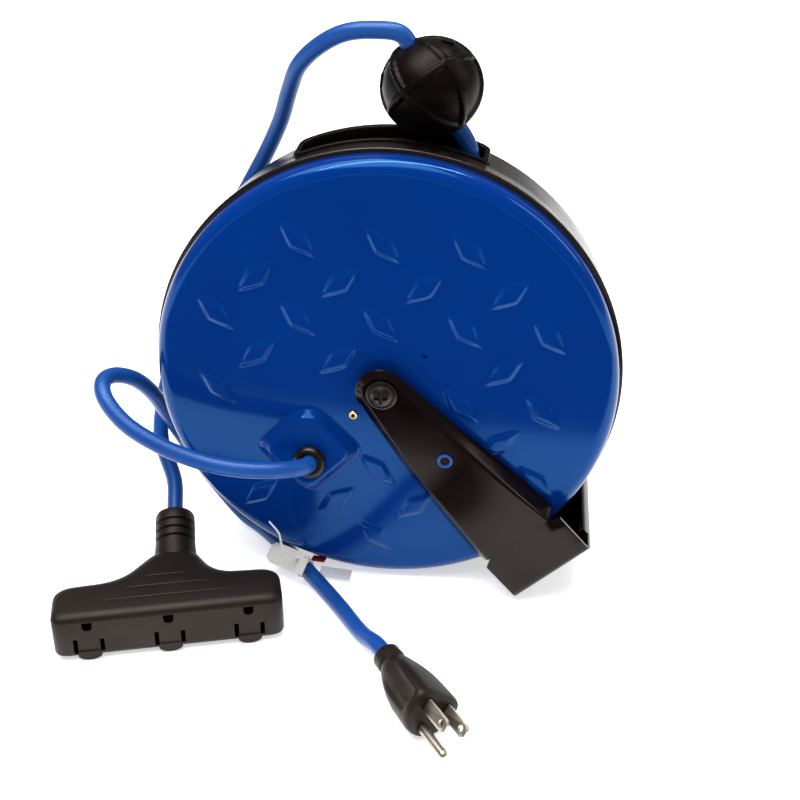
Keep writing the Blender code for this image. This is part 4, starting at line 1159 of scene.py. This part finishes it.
PLUG_SECTIONS = (
    (0.0, 12.2, 12.2, 8.6, 0.45), (-0.5, 12.8, 12.8, 9.2, 0.45), (-1.6, 13.2, 13.2, 9.6, 0.45),
    (-3.0, 13.4, 13.4, 9.8, 0.45), (-4.4, 13.4, 13.4, 9.8, 0.45, 0.4), (-5.6, 13.4, 13.3, 9.8, 0.45, 1.6),
    (-16.0, 13.2, 13.0, 9.6, 0.5, 1.9), (-22.0, 12.4, 12.0, 9.3, 0.54, 1.9),
    (-27.0, 11.2, 10.6, 8.7, 0.6, 1.7), (-30.0, 10.2, 9.6, 8.2, 0.68, 1.1), (-33.0, 8.9, 8.6, 7.6, 0.8, 0.3),
    (-36.0, 7.6, 7.4, 6.9, 0.9), (-37.2, 6.4, 6.4, 6.3, 1.0), (-38.2, 6.4, 6.4, 6.3, 1.0),
    (-38.9, 7.0, 7.0, 7.0, 1.0), (-44.4, 6.9, 6.9, 6.9, 1.0), (-PLUG_LENGTH, 6.4, 6.4, 6.4, 1.0),
)
PLUG_AXES = (PLUG_F, PLUG_U, PLUG_S)
BLADE_SIDES = (("line", -SLOT_SPACING / 2), ("neutral", SLOT_SPACING / 2))
PIN_AT = PLUG_FACE + (BLADE_U - PIN_DROP) * PLUG_U


def add_plug():
    """The moulding, bored for the cord, the ground pin and both blades."""
    shape = sweep([plug_loop(*section) for section in PLUG_SECTIONS])
    made = add_piece("plug_moulding", shape, "black_rubber", "plug_body", sharp=40.0)
    cuts = [lathe(rod(4.8, -60, -37), PLUG_FACE, PLUG_F, 32), lathe(rod(2.7, -8, 5), PIN_AT, PLUG_F, 24)]
    for tag, s in BLADE_SIDES:
        low = (-8.0, BLADE_U - 3.5, s - 1.1)
        cuts.append(slab(low, (5.0, BLADE_U + 3.5, s + 1.1), PLUG_AXES, PLUG_FACE, 0.05))
    carve(made, *cuts, sharp=40.0)
    return made


def add_blade(tag, s):
    """A flat blade with clipped corners and a hole near its end."""
    outline = [(-7.7, -3.17), (15.4, -3.17), (17.4, -1.6), (17.4, 1.6), (15.4, 3.17), (-7.7, 3.17)]
    loops = []
    for w, inset in ((-0.75, 0.2), (-0.6, 0.0), (0.6, 0.0), (0.75, 0.2)):
        shrunk = [(a - copysign(inset, a), BLADE_U + b - copysign(inset, b)) for a, b in outline]
        loops.append([PLUG_FACE + a * PLUG_F + b * PLUG_U + (s + w) * PLUG_S for a, b in shrunk])
    made = add_piece(f"blade_{tag}", sweep(loops), "brass", f"plug_blade_{tag}", look="nickel",
                     sharp=30.0)
    hole_at = PLUG_FACE + 13.4 * PLUG_F + BLADE_U * PLUG_U
    carve(made, lathe(rod(1.6, -20, 20), hole_at, PLUG_S, 24), sharp=30.0)
    return made


plug = add_plug()
blades = [add_blade(tag, s) for tag, s in BLADE_SIDES]
pin = lathe([(0, -7.7), (2.38, -7.7), (2.38, 18.0), (2.2, 19.2), (1.7, 20.1), (0.9, 20.55), (0, 20.6)],
            PIN_AT, PLUG_F, 40)
ground_pin = add_piece("ground_pin", pin, "brass", "plug_ground_pin", look="nickel")


# ---------------- blank tag and its tie
tag_spot = min(range(len(lead_path)), key=lambda i: float(np.linalg.norm(lead_path[i] - (-42.0, -37.0, 5.6))))
tag_at = lead_path[tag_spot]
tag_along = unit(lead_path[tag_spot + 1] - lead_path[tag_spot - 1])
band = [(4.4, -1.2), (5.3, -1.2), (5.5, -1.0), (5.5, 1.0), (5.3, 1.2), (4.4, 1.2)]
card_along = unit(TAG_ALONG)
card_lean = unit(TAG_LEAN - np.dot(TAG_LEAN, card_along) * card_along)
card_face = np.cross(card_along, card_lean)
card_corner = TAG_CORNER + (-2.0, 0.5, 2.6)


def card_shape():
    """A card with two clipped corners, bowed along its length and slightly curled at its end."""
    long, wide = TAG_SIZE
    loops = []
    steps = 24
    for i in range(steps + 1):
        u = long * i / steps
        low = max(0.0, 3.0 - u) * 0.8
        high = wide - max(0.0, u - long + 7.0) * 0.55 - max(0.0, 2.0 - u)
        lift = 0.9 * sin(pi * i / steps) + 1.2 * (i / steps) ** 3
        loop = []
        for v, w in ((low, 0.0), (high, 0.0), (high, 0.3), (low, 0.3)):
            curl = 0.02 * (v - 0.5 * wide) ** 2
            loop.append(card_corner + u * card_along + v * card_lean + (w - lift - curl + 0.9) * card_face)
        loops.append(loop)
    return sweep(loops)


def ribbon(points, side, wide, thick):
    """A thin strap along a smooth curve, tapered towards its end."""
    path = spline(points, 6)
    loops = []
    for i, p in enumerate(path):
        half = 0.5 * wide * (1 - 0.45 * i / len(path))
        along = unit(path[min(i + 1, len(path) - 1)] - path[max(i - 1, 0)])
        across = unit(side - np.dot(side, along) * along)
        up = 0.5 * thick * np.cross(along, across)
        out = half * across
        loops.append([p + out + up, p - out + up, p - out - up, p + out - up])
    return sweep(loops)


blank_tag = add_piece("tag_card", card_shape(), "white_card", "blank_tag")
knot = tag_at + 6.2 * UP + vec(0.5, -1.5, 0.0)
tail_points = [tag_at + 5.2 * UP, knot + (-1.0, -1.5, 1.5), (-48.5, -45.5, 18.0), (-52.0, -46.0, 26.0),
               (-53.5, -45.0, 33.0), (-58.5, -44.0, 39.5)]
tie_shape = combine(lathe(band, tag_at, tag_along, 48),
                    slab((-2.6, -2.0, -1.2), (2.6, 2.0, 1.6), np.eye(3), knot, 0.5),
                    ribbon(tail_points, vec(1.0, 0.2, 0.3), 1.5, 0.4))
tag_tie = add_piece("tie_band", tie_shape, "white_nylon", "tag_tie")
patch_axes = (unit((1.0, -0.25, 0.1)), unit((0.25, 1.0, 0.0)), UP)
patch = slab((0.0, 0.0, 0.0), (8.0, 5.0, 0.5), patch_axes, vec(-40.5, -30.5, 6.0), 0.1)
red_patch = add_piece("tag_red_patch", patch, "white_card", look="red_print")
sleeve_axes = (unit((1.0, -0.12, 0.0)), unit((0.12, 1.0, 0.25)), UP)
sleeve = slab((0.0, 0.0, 0.0), (17.0, 7.0, 0.6), sleeve_axes, vec(-35.0, -38.5, 2.0), 0.15)
clear_sleeve = add_piece("tag_sleeve", sleeve, "white_nylon", look="clear_sleeve")

# ---------------- looks of the CAD nodes that stay
for row in frame["record"]["subparts"]:
    node = frame["nodes"][row["node"]]
    if not node.hide_render:
        node.data.materials.clear()
        node.data.materials.append(MATERIALS[row["material_slot"]])
        smooth(node.data, 35)


# ---------------- floor, light and camera
def add_floor():
    bm = bmesh.new()
    bmesh.ops.create_grid(bm, x_segments=8, y_segments=8, size=4.0)
    bmesh.ops.translate(bm, vec=(0, 0, -FLOOR_DROP), verts=bm.verts)
    floor = link_mesh("floor", bm)
    white = plain("floor_white", (0.97, 0.97, 0.97), 0.75, 40.0, 0.0, specular=0.0)
    shader = white.node_tree.nodes["Principled BSDF"]
    shader.inputs["Emission Color"].default_value = (1.0, 1.0, 1.0, 1.0)
    shader.inputs["Emission Strength"].default_value = FLOOR_GLOW
    floor.data.materials.append(white)


def add_flag():
    """A dark card on the floor in front, seen only in reflections."""
    corners = [(-0.60, -0.235), (-0.20, -0.222), (0.05, -0.190), (0.60, -0.165), (0.70, -1.6), (-0.70, -1.6)]
    bm = bmesh.new()
    bm.faces.new([bm.verts.new((x, y, 0.0006)) for x, y in corners])
    flag = link_mesh("flag", bm)
    flag.data.materials.append(plain("flag_black", (0.01, 0.01, 0.012), 0.9, specular=0.0))
    flag.visible_camera = False
    flag.visible_diffuse = False
    flag.visible_shadow = False


def add_area(name, location, target, size, power):
    data = bpy.data.lights.new(name, "AREA")
    data.shape = "RECTANGLE"
    data.size, data.size_y = size
    data.energy = power
    lamp = link_object(name, data)
    lamp.location = location
    lamp.rotation_euler = (Vector(target) - Vector(location)).to_track_quat("-Z", "Y").to_euler()


def add_world():
    """White to the camera, half as bright as light and dimmer still in reflections."""
    world = bpy.data.worlds.new("studio")
    world.use_nodes = True
    nodes = world.node_tree.nodes
    links = world.node_tree.links
    path = nodes.new("ShaderNodeLightPath")

    def background(strength):
        made = nodes.new("ShaderNodeBackground")
        made.inputs["Color"].default_value = (1.0, 1.0, 1.0, 1.0)
        made.inputs["Strength"].default_value = strength
        return made.outputs[0]

    def choose(ray, otherwise, when):
        mix = nodes.new("ShaderNodeMixShader")
        links.new(path.outputs[ray], mix.inputs[0])
        links.new(otherwise, mix.inputs[1])
        links.new(when, mix.inputs[2])
        return mix.outputs[0]

    lighting = choose("Is Glossy Ray", background(0.5), background(0.2))
    seen = choose("Is Camera Ray", lighting, background(1.0))
    links.new(seen, nodes["World Output"].inputs["Surface"])
    bpy.context.scene.world = world


def add_camera():
    data = bpy.data.cameras.new("camera")
    data.sensor_width = 36.0
    data.lens = CAMERA_LENS
    data.clip_start = 0.01
    camera = link_object("camera", data)
    camera.location = CAMERA_AT
    camera.rotation_euler = (pi / 2 - CAMERA_ELEVATION, 0.0, CAMERA_AZIMUTH)
    bpy.context.scene.camera = camera


add_floor()
add_flag()
add_world()
for light in LIGHTS:
    add_area(*light)
add_camera()
bpy.context.scene.view_settings.view_transform = "Standard"
